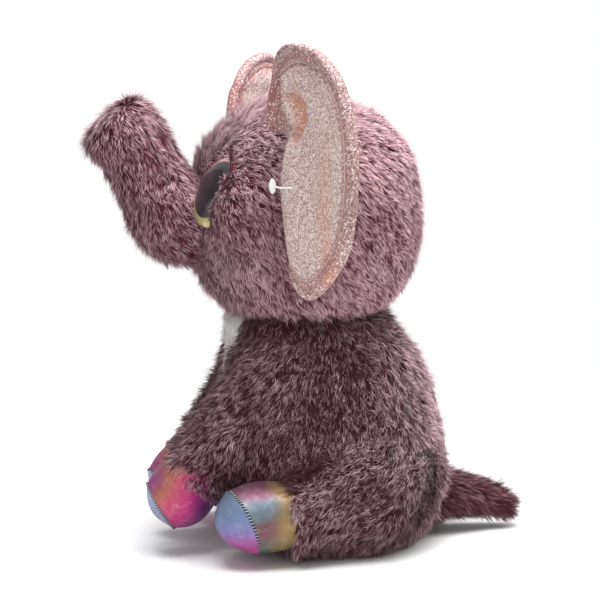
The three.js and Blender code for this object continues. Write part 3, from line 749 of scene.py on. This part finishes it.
def distance_to_body(points):
    rows = np.array(BODY_ROWS) * MM
    reach = np.interp(points[:, 2], rows[:, 1], rows[:, 0])
    middle = np.interp(points[:, 2], rows[:, 1], rows[:, 2])
    return np.hypot(points[:, 0] / BODY_SLIMNESS, points[:, 1] - middle) - reach


def limb_surface(rows, wide, around, filleted):
    """A stuffed tube through rows of (x, y, z, radius), in mm, wider or slimmer across x."""
    path = spline(rows, 60) * MM
    centres, radii = path[:, :3], path[:, 3]
    along = unit(np.gradient(centres, axis=0))
    side = unit(np.cross(along, np.cross([1.0, 0, 0], along)))
    other = np.cross(along, side)
    points, faces = tube(centres, side * wide, other, radii, around)
    swell = lumps(points, 45, 0.0008)
    if filleted:
        swell += fillet(distance_to_body(points))
    points = points + vertex_normals(points, faces) * swell[:, None]
    return points, faces, along, centres


def build_limb(body, limb, rows, nodes, tone, seed, wide=1.0, hair=deep_shaded_hair, sizes=BODY_PILE,
               comb_out=1.0, tip_tone=0.0, around=72):
    """A limb's cloth and pile; a limb on the body swells where it meets the body's cloth."""
    on_body = body == "body"
    points, faces, along, centres = limb_surface(rows, wide, around, on_body)
    normals = vertex_normals(points, faces)
    nearest = np.argmin(np.linalg.norm(points[:, None] - centres[None], axis=2), axis=1)
    comb = along[nearest] * comb_out + np.array([0, 0, -0.25])
    level = tone + lumps(points, 60, 0.13)
    # Painted light: the pile is paler where it faces up.
    level = level + 0.16 * np.clip(normals[:, 2], 0, 1)
    tip = step(nearest / len(centres), 0.80, 0.97)
    level += tip_tone * tip
    if on_body:
        # Painted shade in the arm's crease and painted light over the back.
        level += crease_shade(points) + lit_back_tone(points)
    comb = comb * (1 - tip[:, None]) + (comb * 0.3 + [0, 0, -0.8]) * tip[:, None]
    full = np.ones(len(points))
    coat = {"comb": comb, "tone": level, "cover": full, "length": full}
    pieces = pile_panel(limb, points, faces, normals, coat, hair, plum_backing, sizes, seed)
    for piece in pieces:
        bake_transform(piece)
    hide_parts(*nodes)


def build_trunk():
    rows = [(0, -44, 150, 20), (0, -59, 152, 20.5), (0, -67.5, 162, 18), (0, -73.5, 173, 16),
            (0, -79.5, 184, 16), (0, -85.5, 191.5, 16.4), (0, -89.3, 196, 13.5), (0, -91, 198, 5)]
    nodes = ["trunk_left_panel", "trunk_right_panel", "trunk_tip_panel", "trunk_stuffing"]
    build_limb("head", "trunk", rows, nodes, 0.44, 11, wide=0.86, hair=plum_hair, sizes={},
               comb_out=-0.9, tip_tone=0.30)


LEG_KINDS = (  # kind, its joint, where the bend starts and ends from the joint, tone, seed, sides
    ("front_leg", "lift", (0, 0.004, 0.006), (0, -0.012, -0.017), 0.31, 21, 72),
    ("hind_leg", "spread", (0, 0.006, 0), (0, -0.026, 0), 0.33, 31, 96),
)


def build_legs():
    for side, sign in SIDES.items():
        for kind, joint, start, end, tone, seed, around in LEG_KINDS:
            name = f"{kind}_{side}"
            build_limb("body", name, LIMBS[name], [name + "_sleeve", name + "_stuffing"],
                       tone, seed + sign, around=around)


def build_tail():
    rows = [(0, 60, 18, 9), (0, 70, 17.5, 9.5), (0, 80, 16, 8.2), (0, 90, 13.5, 6.4),
            (0, 97, 11.5, 4.6), (0, 100, 10.5, 2)]
    build_limb("body", "tail", rows, ["tail_cover", "tail_stuffing"], 0.22, 41,
               hair=tail_hair, sizes=TAIL_PILE, around=48)


# ---- body ----
BODY_ROWS = [(0.2, 0, 12), (34, 0.6, 12), (43, 5, 12), (49, 16, 12), (50.5, 30, 12), (50.5, 45, 12),
             (49.5, 60, 11), (45.5, 76, 9.7), (42, 90, 6), (39.5, 100, 1.2), (36, 107, -1),
             (26, 112, -1), (1, 113, -1)]  # half depth, height and middle, mm
BODY_SLIMNESS = 0.90  # its width as a share of its depth
BIB_HALF = 0.017
BIB_BACK = -0.012  # the chest panel lies in front of this
SEAT_TOP = 0.003  # height of the seat's seam
NECK_RADIUS = 0.050  # of the head's hollow in the neck, where no pile is grown


def body_surface():
    """A pear that leans forward, swelling to meet each limb."""
    path = spline(BODY_ROWS, 80) * MM
    centres = np.column_stack([np.zeros(80), path[:, 2], np.maximum(path[:, 1], 0)])
    side = np.tile([BODY_SLIMNESS, 0, 0], (80, 1))
    front = np.tile([0, 1.0, 0], (80, 1))
    points, faces = tube(centres, side, front, np.maximum(path[:, 0], 0.0002), 120)
    normals = vertex_normals(points, faces)
    swell = lumps(points, 38, 0.0012)
    for rows in LIMBS.values():
        swell += fillet(distance_to_limb(points, rows))
    swell[points[:, 2] < 0.004] = 0
    return points + swell[:, None] * normals, faces


def build_body():
    points, faces = body_surface()
    normals = vertex_normals(points, faces)
    comb = np.tile(np.array([0.0, 0.12, -1.0]), (len(points), 1))
    for rows in LIMBS.values():
        near = np.clip(1 - np.abs(distance_to_limb(points, rows)) / FILLET, 0, 1)[:, None]
        way = unit(np.array(rows[-1][:3], float) - np.array(rows[0][:3]))
        near = near * np.clip(1 - 1.5 * np.abs(normals @ way), 0, 1)[:, None]
        comb = comb * (1 - near) + (way + [0, 0, -0.25]) * near
    # Painted shade in each arm's crease; painted light over the back and where the pile faces
    # backwards.
    tone = crease_shade(points) + 0.27 + lumps(points, 50, 0.15) + lit_back_tone(points)
    tone = tone + 0.26 * np.clip(normals[:, 1], 0, 1) ** 2
    cover = np.where(points[:, 2] < SEAT_TOP, 0.25, 1.0)
    cover[np.linalg.norm(points - HEAD, axis=1) < NECK_RADIUS] = 0
    length = np.where(points[:, 2] < 0.004, 0.35, 1.0)
    for rows in LIMBS.values():
        cover[distance_to_limb(points, rows) < -0.003] = 0
    coat = {"comb": comb, "tone": tone, "cover": cover, "length": length}

    def bib(m):
        return (np.abs(m[:, 0]) < BIB_HALF) & (m[:, 1] < BIB_BACK) & (m[:, 2] > 0.004)

    panels = [
        ("body_left", lambda m: (m[:, 0] >= 0) & ~bib(m) & (m[:, 2] > SEAT_TOP), deep_shaded_hair,
         plum_backing, "plum_pile", BODY_PILE, ["body_left_panel", "body_stuffing"]),
        ("body_right", lambda m: (m[:, 0] < 0) & ~bib(m) & (m[:, 2] > SEAT_TOP), deep_shaded_hair,
         plum_backing, "plum_pile", BODY_PILE, ["body_right_panel"]),
        ("seat", lambda m: m[:, 2] <= SEAT_TOP, deep_shaded_hair, plum_backing, "plum_pile", SEAT_PILE,
         ["seat_panel"]),
        ("bib", bib, white_hair, white_backing, "white_pile", BIB_PILE, ["bib_panel"]),
    ]
    sew_panels("body", points, faces, normals, coat, panels, 51)


# ---- ears ----
# flat outline: out from the root and up from the head's centre, mm
EAR_OUTLINE = [(-6, 42), (-4, 55), (4, 69), (19, 76.5), (35, 69.5), (47, 51), (54, 20), (48, -3),
               (35, -19), (19, -30), (7, -22), (1, -4), (1, 14), (4, 30), (2, 38)]
EAR_MIDDLE = np.array([24.0, 24.0])
EAR_SWEEP = {"left": math.radians(16), "right": math.radians(42)}
EAR_ORIGIN = HEAD * 1000 + np.array([47.0, -14.0, 0.0])
EAR_FOLD = [(12, 57), (17, 51), (17.5, 46), (13, 39)]  # the valley between the cup and the lower ear
EAR_GROOVE = [(5.5, 61), (4.5, 52), (6, 43)]  # the dark gap between the front rim and the cup
EAR_LEVELS = [-30, 18, 28, 42, 50, 58, 66, 80]
EAR_RIDGE = [10, 6, 8, 12, 9, 7, 8, 14]  # how far out the front swell runs, at those levels
EAR_SWELL = [4.0, 7.4, 7.0, 4.8, 7.5, 9.5, 8.5, 6.0]  # and how far forward
EAR_RIM_LEVELS = [38, 42, 56, 71, 79]
EAR_RIM = [-6, -6, -3, 5, 18]  # how far out the front rim's roll runs, at those levels
EAR_SEAM = 0.87  # share of the outline where the topstitching runs


def off_line(flat, line):
    """Distance of flat points from a broken line."""
    nearest = np.full(len(flat), 1e3)
    for a, b in zip(np.array(line[:-1], float), np.array(line[1:], float)):
        t = np.clip((flat - a) @ (b - a) / ((b - a) @ (b - a)), 0, 1)
        nearest = np.minimum(nearest, np.linalg.norm(flat - a - t[:, None] * (b - a), axis=1))
    return nearest


def ear_curl(flat, folded):
    """How far forward of its flat sheet the ear stands; only one ear is folded."""
    out, up = flat[:, 0], flat[:, 1]
    ridge_at = np.interp(up, EAR_LEVELS, EAR_RIDGE)
    swell = np.interp(up, EAR_LEVELS, EAR_SWELL)
    forward = 1 + (swell - 1) * bell(out, ridge_at, np.where(out < ridge_at, 5.0, 13.0))
    if not folded:
        return 1 + 0.8 * (swell - 1) * bell(out, 2, 22) + 5 * step(up, 60, 80)
    rim_at = np.interp(up, EAR_RIM_LEVELS, EAR_RIM)
    forward = np.maximum(forward, 9 * bell(out, rim_at, 4.0) * step(up, 34, 44))
    forward -= 5.0 * bell(off_line(flat, EAR_FOLD), 0, 3.4)
    forward -= 4 * bell(off_line(flat, EAR_GROOVE), 0, 1.8)
    return forward + 4 * step(up, 60, 80) + 0.7 * np.sin(up / 9.0) * step(out, 24, 44)


def ear_edge(count):
    """Evenly spaced points round the outline."""
    loop = np.array(EAR_OUTLINE + EAR_OUTLINE[:3], float)
    span = 20  # samples between two points of the outline
    curve = spline(loop, span * (len(loop) - 1) + 1)
    curve = curve[span:span + span * len(EAR_OUTLINE) + 1]
    lengths = np.concatenate([[0], np.cumsum(np.linalg.norm(np.diff(curve, axis=0), axis=1))])
    wanted = np.linspace(0, lengths[-1], count, endpoint=False)
    return np.column_stack([np.interp(wanted, lengths, curve[:, k]) for k in (0, 1)])


def ear_place(flat, height, side):
    """Lays a flat outline point, at a height off the sheet, onto the curled ear."""
    out, up = flat[:, 0], flat[:, 1]
    sweep = EAR_SWEEP[side]
    forward = ear_curl(flat, side == "left") + height
    x = EAR_ORIGIN[0] + out * math.cos(sweep) + forward * math.sin(sweep)
    y = EAR_ORIGIN[1] + out * math.sin(sweep) - forward * math.cos(sweep)
    z = EAR_ORIGIN[2] + up
    if side == "right":  # it sits a little forward, leans back at the top and is less tall
        y = y - 6 + 0.18 * np.clip(up - 38, 0, None)
        z = z - 0.07 * np.clip(up, 0, None)
    return np.column_stack([SIDES[side] * x, y, z]) * MM


def ear_shell(name, side, shares, heights, material, closed=False):
    """Rings of the outline at given shares, at given heights off the sheet."""
    edge = ear_edge(220)
    count = len(edge)
    flats = [EAR_MIDDLE + (edge - EAR_MIDDLE) * share for share in shares]
    points = np.concatenate([
        ear_place(flat, np.full(count, float(height)), side) for flat, height in zip(flats, heights)])
    faces = []
    last = len(flats) if closed else len(flats) - 1
    for i in range(last):
        j = (i + 1) % len(flats)
        for k in range(count):
            n = (k + 1) % count
            face = (i * count + k, i * count + n, j * count + n, j * count + k)
            faces.append(face if side == "left" else face[::-1])
    made = mesh_object(name, points, faces)
    flat = np.concatenate(flats)
    out, up = flat[:, 0], flat[:, 1]
    share = np.repeat(shares, count)
    folded = side == "left"
    # Painted light: peach glow along the valley of the fold and down the lower ear's fold
    peach = 0.9 * folded * bell(off_line(flat, EAR_FOLD), 0, 3.0) * step(up, 62, 52)
    peach = peach + 0.5 * bell(out, 35, 5) * step(up, 50, 10)
    rose = bell(share, EAR_SEAM - 0.022, 0.014) + bell(share, EAR_SEAM + 0.035, 0.03)
    # painted shade in the dark groove between the front rim and the cup
    rose += folded * 1.6 * bell(off_line(flat, EAR_GROOVE), 0, 2.2)
    # painted shade on the front rim, which lies in shadow
    rose += 1.2 * bell(out, -4, 5) * step(up, 38, 44)
    write_attribute(made, "peach", "FLOAT", np.clip(peach, 0, 1))
    write_attribute(made, "rose", "FLOAT", np.clip(rose, 0, 1))
    made.data.materials.append(material)
    bm = bmesh.new()
    bm.from_mesh(made.data)
    bmesh.ops.remove_doubles(bm, verts=bm.verts, dist=2e-5)
    bmesh.ops.recalc_face_normals(bm, faces=bm.faces)
    bm.to_mesh(made.data)
    bm.free()
    made.data.shade_smooth()
    return made


def stitches(name, points, ways, outs, size, finish):
    """Small flat loops of thread: each a low six-sided bar lying along its way."""
    long, wide, tall = size
    ring = np.array([(-1, 0, 0), (-0.7, 0.8, 0.35), (0.7, 0.8, 0.35), (1, 0, 0), (0.7, -0.8, 0.35),
                     (-0.7, -0.8, 0.35), (-0.6, 0, 1), (0.6, 0, 1)])
    shape = [(0, 1, 6), (1, 2, 7, 6), (2, 3, 7), (3, 4, 7), (4, 5, 6, 7), (5, 0, 6)]
    verts, faces = [], []
    for p, way, out in zip(points, unit(ways), unit(outs)):
        side = unit(np.cross(out, way))
        base = len(verts)
        for a, b, c in ring:
            verts.append(p + way * a * long / 2 + side * b * wide / 2 + out * c * tall)
        faces += [tuple(base + i for i in f) for f in shape]
    made = mesh_object(name, verts, faces)
    made.data.materials.append(finish)
    return made


def build_ears():
    for side in SIDES:
        body = f"ear_{side}"
        reach = np.concatenate([np.linspace(0.0005, 0.80, 26), np.linspace(0.815, 0.94, 20)])
        puff = 3.0 * np.sqrt(np.clip(1 - (reach / 0.945) ** 8, 0, 1)) + 0.6
        puff = puff - 1.1 * bell(reach, EAR_SEAM, 0.012)
        shares = np.concatenate([reach, reach[::-1]])
        heights = np.concatenate([puff, -puff[::-1] * 0.8])
        pad = ear_shell(body + "_pad", side, shares, heights, ear_cloth)
        angles = np.linspace(0, 2 * math.pi, 17)[:-1]
        hem = ear_shell(body + "_rolled_hem", side, 0.972 + 0.048 * np.cos(angles),
                        2.7 * np.sin(angles), hem_cloth, closed=True)
        edge = ear_edge(150)
        flat = EAR_MIDDLE + (edge - EAR_MIDDLE) * EAR_SEAM
        seam = ear_place(flat, np.full(150, 2.2), side)
        over = ear_place(flat, np.full(150, 3.2), side)
        ways = np.roll(seam, -1, axis=0) - np.roll(seam, 1, axis=0)
        thread = stitches(body + "_topstitching", seam, ways, over - seam,
                          (0.0017, 0.0006, 0.0004), ear_thread)
        wear(body, (pad, "ear_sparkle"), (hem, "ear_hem"), (thread, "seam_thread"))
        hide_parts(body + "_front_panel", body + "_back_panel", body + "_padding")
        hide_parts(body + "_hem")


# ---- feet ----
# The pale silver-blue stops at 0.62 and 0.76 are a painted highlight band across the hind foot.
HIND_FOIL = [(0.0, (0.050, 0.080, 0.070)), (0.16, (0.120, 0.140, 0.130)), (0.34, (0.150, 0.062, 0.078)),
             (0.50, (0.150, 0.072, 0.080)), (0.62, (0.140, 0.180, 0.215)), (0.76, (0.17, 0.225, 0.270)),
             (0.88, (0.211, 0.087, 0.136)), (1.0, (0.149, 0.05, 0.087))]
HIND_SOLE = [(0.0, (0.50, 0.045, 0.23)), (0.22, (0.36, 0.070, 0.26)), (0.45, (0.19, 0.150, 0.33)),
             (0.70, (0.15, 0.215, 0.37)), (1.0, (0.18, 0.240, 0.34))]
FRONT_FOIL = [(0.0, (0.087, 0.099, 0.26)), (0.16, (0.211, 0.05, 0.211)), (0.40, (0.409, 0.031, 0.161)),
              (0.66, (0.446, 0.056, 0.136)), (0.85, (0.409, 0.136, 0.087)), (1.0, (0.31, 0.062, 0.211))]
FRONT_SOLE = [(0.0, (0.20, 0.22, 0.36)), (1.0, (0.34, 0.36, 0.46))]
GOLD = (0.30, 0.195, 0.07)
FOILS = {  # way and colours of the foot's bands, its gold, then way and colours of the sole's
    "front_leg": ((0, -0.75, 0.5), FRONT_FOIL, 0.0, (0, 0, 1), FRONT_SOLE),
    "hind_leg": ((0, 0, 1), HIND_FOIL, 0.35, (0, -0.2, 1), HIND_SOLE),
}
SEAM_SHARE = {"front_leg": 0.86, "hind_leg": 0.72}  # where the sole is sewn on, ankle to toe
DOME_FROM = 0.42  # share of the foot where its end starts to round off
SOLE_STITCHES = 62


def foot_finish(name, centre, way, size, stops, gold=0.0):
    """Iridescent foil: colours run across the foot in soft bands, gold at the ankle."""
    paint = Paint(name)
    spot = paint.place(centre)
    x, y, z = paint.axes(spot)
    drift = paint.noise(spot, 45.0, 1.0)
    band = (x * way[0] + y * way[1] + z * way[2]) * (0.5 / size) + 0.5 + (drift - 0.5) * 0.35
    colour = paint.node("ShaderNodeValToRGB", {"stops": stops}, {"Fac": band})
    if gold:
        colour = paint.mix(((y + drift * 0.012) / size).ramp(gold, gold + 0.55) * 0.85, colour, GOLD)
    crackle = paint.noise(spot, 1100.0, 3.0)
    worn = paint.noise(spot, 300.0, 3.0)
    colour = paint.mix(worn.ramp(0.45, 0.85) * 0.22, colour, (0.55, 0.55, 0.58))
    crease = paint.noise(spot, 120.0, 2.0)
    return paint.set(
        Base_Color=colour,
        Metallic=0.6,
        Roughness=crackle * 0.25 + 0.38,
        Normal=paint.bump(crackle * 0.4 + crease * 0.6, 0.5, 0.0006),
    )


def foot_rows(kind, sign):
    """Ankle, toe, radius, and the way the sole faces."""
    if kind == "front_leg":
        ankle, toe, r, tilt = (16.6, -52.0, 39.5), (16.0, -71.0, 15.8), 15.4, (-0.15, -0.55, 0.05)
    else:
        ankle, toe, r, tilt = (41.5, -10.0, 22.0), (45.0, -50.5, 21.4), 15.9, (0.12, 0, -0.36)
    mirror = np.array([sign, 1, 1])
    if kind == "front_leg" and sign < 0:
        ankle, toe = (np.array(v) + [0, RIGHT_TUCK, 0] for v in (ankle, toe))
    ankle, toe, tilt = (np.array(v, float) * mirror for v in (ankle, toe, tilt))
    return ankle, toe, r, unit(unit(toe - ankle) + tilt)


def split_by_plane(piece, point, normal):
    """The half of a mesh on the far side of a plane, as a new mesh, and the cut's points."""
    halves = []
    for clear_outer in (True, False):
        bm = bmesh.new()
        bm.from_mesh(piece.data)
        cut = bmesh.ops.bisect_plane(bm, geom=bm.verts[:] + bm.edges[:] + bm.faces[:], dist=1e-7,
                                     plane_co=point, plane_no=normal, clear_outer=clear_outer,
                                     clear_inner=not clear_outer)
        rim = np.array([v.co for v in cut["geom_cut"] if isinstance(v, bmesh.types.BMVert)])
        mesh = bpy.data.meshes.new(piece.name)
        bm.to_mesh(mesh)
        bm.free()
        mesh.shade_smooth()
        halves.append(mesh)
    return halves, rim


def build_feet():
    for kind in ("front_leg", "hind_leg"):
        for side, sign in SIDES.items():
            ankle, toe, r, sole_way = foot_rows(kind, sign)
            along = unit(toe - ankle)
            length = np.linalg.norm(toe - ankle)
            share = 1 - (1 - np.linspace(0, 1, 60)) ** 1.6
            dome = np.clip((share - DOME_FROM) / (1 - DOME_FROM), 0, 1)
            radius = r * np.sqrt(np.clip(1 - dome**2.3, 0.0001, 1)) * (0.86 + 0.14 * np.sin(
                np.clip(share / 0.5, 0, 1) * math.pi / 2))
            centres = (ankle + np.outer(share * length, along)) * MM
            side_axis = unit(np.cross(along, [0, 0, 1.0]))
            up_axis = np.cross(side_axis, along)
            rings = (len(share), 1)
            points, faces = tube(centres, np.tile(side_axis, rings), np.tile(up_axis, rings),
                                 radius * MM, 96)
            seam_at = (ankle + along * length * SEAM_SHARE[kind]) * MM
            off = (points - seam_at) @ sole_way
            normals = vertex_normals(points, faces)
            pinch = -0.0005 * bell(off, 0, 0.0020) + lumps(points, 70, 0.0007)
            points = points + normals * pinch[:, None]
            name = f"{kind}_{side}"
            whole = mesh_object(name + "_foil_foot", points, faces)
            (foot_mesh, sole_mesh), rim = split_by_plane(whole, seam_at, sole_way)
            centre = (ankle + toe) / 2 * MM
            sole = put_in_scene(name + "_foil_sole", sole_mesh)
            whole.data = foot_mesh
            size = r * MM
            way, colours, gold, way_under, colours_under = FOILS[kind]
            foil = foot_finish(name + "_foil", centre, way, size, colours, gold)
            sole_foil = foot_finish(name + "_sole", centre, way_under, size, colours_under)
            foot_mesh.materials.append(foil)
            sole_mesh.materials.append(sole_foil)
            middle = rim.mean(axis=0)
            a = unit(np.cross(sole_way, [0, 0, 1.0]))
            b = np.cross(sole_way, a)
            turn = np.arctan2((rim - middle) @ b, (rim - middle) @ a)
            order = np.argsort(turn)
            steps = np.linspace(-math.pi, math.pi, SOLE_STITCHES, endpoint=False)
            loop = np.column_stack([np.interp(steps, turn[order], rim[order, k], period=2 * math.pi)
                                    for k in range(3)])
            outs = unit(loop - middle)
            run = np.roll(loop, -1, axis=0) - np.roll(loop, 1, axis=0)
            cross = np.cross(outs, unit(run)) + 0.35 * unit(run)
            dark = stitches(name + "_dark_stitches", loop, cross, outs, (0.0019, 0.0007, 0.0004),
                            dark_thread)
            between = (loop + np.roll(loop, -1, axis=0)) / 2
            pale = stitches(name + "_pale_stitches", between, cross, outs, (0.0013, 0.0004, 0.0003),
                            pale_thread)
            wear(name, (whole, "foot_foil"), (sole, "sole_foil"), (dark, "seam_thread"),
                 (pale, "seam_thread"))
            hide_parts(name + "_foot")
            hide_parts(name + "_sole")


# ---- eyes ----
PUPIL_COLOUR = (0.012, 0.012, 0.014)
# The pale last stop, at the iris's top, is a painted highlight.
IRIS = [(0.0, (0.42, 0.36, 0.10)), (0.3, (0.52, 0.44, 0.16)), (0.5, (0.62, 0.10, 0.16)),
        (0.8, (0.70, 0.16, 0.24)), (1.0, (0.60, 0.42, 0.36))]  # from its foot to its top


def eye_finish(name, side):
    """Black pupil in a thin glitter iris, gold below and red above, with a painted highlight at its
    top, under a clear coat.
    """
    centre, look, across, up = EYES[side]
    turn = Matrix((Vector(across), Vector(up), Vector(look))).transposed().to_euler()
    paint = Paint(name)
    spot = paint.place(centre, turn)
    x, y, _ = paint.axes(spot)
    inward = x - PUPIL_SHIFT * SIDES[side]
    ring = (inward * inward + y * y) ** 0.5
    lit, _, _ = paint.flakes(spot, 1500.0)
    sweep = y * (1 / EYE_RADIUS) * 0.5 + 0.5
    iris = paint.node("ShaderNodeValToRGB", {"stops": IRIS}, {"Fac": sweep})
    iris = paint.mix(lit.ramp(0.5, 1.0) * 0.5, iris, (0.9, 0.8, 0.7))
    pupil = (ring / EYE_RADIUS).ramp(0.80, 0.83)
    colour = paint.mix(pupil, PUPIL_COLOUR, iris)
    return paint.set(Base_Color=colour, Roughness=0.30, Metallic=pupil * 0.3, Coat_Weight=0.8,
                     Coat_Roughness=0.16)


def build_eyes():
    for side in SIDES:
        centre, look, across, up = EYES[side]
        angle = np.linspace(0, math.pi / 2, 24)
        radii = np.concatenate([[EYE_RADIUS * 0.96, EYE_RADIUS], EYE_RADIUS * np.cos(angle)])
        heights = np.concatenate([[-0.004, -0.002], EYE_DOME * np.sin(angle)])
        radii[-1] = 0.00005  # all but a point
        rings = (len(radii), 1)
        points, faces = tube(centre + np.outer(heights, look), np.tile(across, rings),
                             np.tile(up, rings), radii, 64)
        dome = mesh_object(f"eye_{side}_dome", points, faces)
        dome.data.materials.append(eye_finish(f"eye_{side}_print", side))
        wear("head", (dome, "eye_lens"))
        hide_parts(f"eye_{side}_lens", f"eye_{side}_iris_plate")


# ---- tag, and nodes kept from the solid model ----
TAG_FROM = np.array([64.0, -20.5, 169.0])  # where its pin leaves the ear, mm
TAG_TO = np.array([58.6, -27.4, 169.3])  # the middle of its paddle
PIN_RADIUS = 0.00035


def build_tag():
    finish = plain_plastic("tag_plastic", (0.88, 0.88, 0.87), 0.35)
    sag = np.array([0, 0, -0.5])
    path = spline([TAG_FROM + [-4, 4, 0] + sag, TAG_FROM, (TAG_FROM + TAG_TO) / 2 + sag, TAG_TO],
                  24) * MM
    along = unit(np.gradient(path, axis=0))
    side = unit(np.cross(along, [0, 0, 1.0]))
    points, faces = tube(path, side, np.cross(along, side), np.full(24, PIN_RADIUS), 10)
    filament = mesh_object("tag_filament", points, faces)
    aims, faces = ball(3)
    thin = unit(np.array([0.978, -0.208, 0.0]))
    flat = aims @ np.array([np.cross(thin, [0, 0, 1.0]) * 1.5, [0, 0, 3.3], thin * 0.7])
    paddle = mesh_object("tag_paddle", TAG_TO * MM + flat * MM, faces)
    for piece in (filament, paddle):
        piece.data.materials.append(finish)
        wear("ear_left", (piece, "tag_plastic"))
    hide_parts("tag_fastener")


def finish_kept_nodes():
    finishes = {
        "eye_left_washer": plain_plastic("washer_plastic", (0.75, 0.75, 0.72), 0.5),
        "neck_seam_ring": thread_finish("neck_thread", (0.20, 0.08, 0.10)),
        "seat_bean_pouch": pile_backing("pouch_cloth", (0.75, 0.72, 0.64)),
    }
    finishes["eye_right_washer"] = finishes["eye_left_washer"]
    for name, material in finishes.items():
        for slot in frame["nodes"][name].material_slots:
            slot.material = material


# ---- room ----
LIGHTS = (  # name, place, power, size
    ("top_light", (0.10, 0.02, 0.95), 14.0, 0.75),
    ("back_light", (0.15, 0.70, 0.75), 4.0, 0.6),
    ("front_light", (0.85, -0.75, 0.45), 1.6, 0.6),
)
FILL = 0.45  # even light from all round
BACKGROUND = 1.0  # what the camera sees of it
FLOOR_HALF = 0.36
LIT_AT = Vector((0, 0, 0.1))  # where each light points


def build_room():
    paint = Paint("pale_floor")
    grain = paint.noise(paint.place(), 6.0)
    floor_finish = paint.set(Base_Color=paint.mix(grain, (0.93, 0.93, 0.93), (0.95, 0.95, 0.95)),
                             Roughness=0.9)
    corners = [(x * FLOOR_HALF, y * FLOOR_HALF, 0) for x, y in ((-1, -1), (1, -1), (1, 1), (-1, 1))]
    floor = mesh_object("floor", corners, [(0, 1, 2, 3)])
    floor.data.materials.append(floor_finish)
    world = bpy.context.scene.world or bpy.data.worlds.new("world")
    bpy.context.scene.world = world
    world.use_nodes = True
    tree = world.node_tree
    back = tree.nodes["Background"]
    back.inputs["Color"].default_value = (1, 1, 1, 1)
    seen = tree.nodes.new("ShaderNodeLightPath").outputs["Is Camera Ray"]
    strength = tree.nodes.new("ShaderNodeMapRange")
    strength.inputs["To Min"].default_value = FILL
    strength.inputs["To Max"].default_value = BACKGROUND
    tree.links.new(seen, strength.inputs["Value"])
    tree.links.new(strength.outputs[0], back.inputs["Strength"])
    for name, place, energy, width in LIGHTS:
        light = bpy.data.lights.new(name, "AREA")
        light.energy = energy
        light.size = width
        lamp = put_in_scene(name, light)
        lamp.location = place
        lamp.rotation_euler = (LIT_AT - Vector(place)).to_track_quat("-Z", "Y").to_euler()


build_head()
build_trunk()
build_body()
build_legs()
build_tail()
build_ears()
build_feet()
build_eyes()
build_tag()
finish_kept_nodes()
build_room()
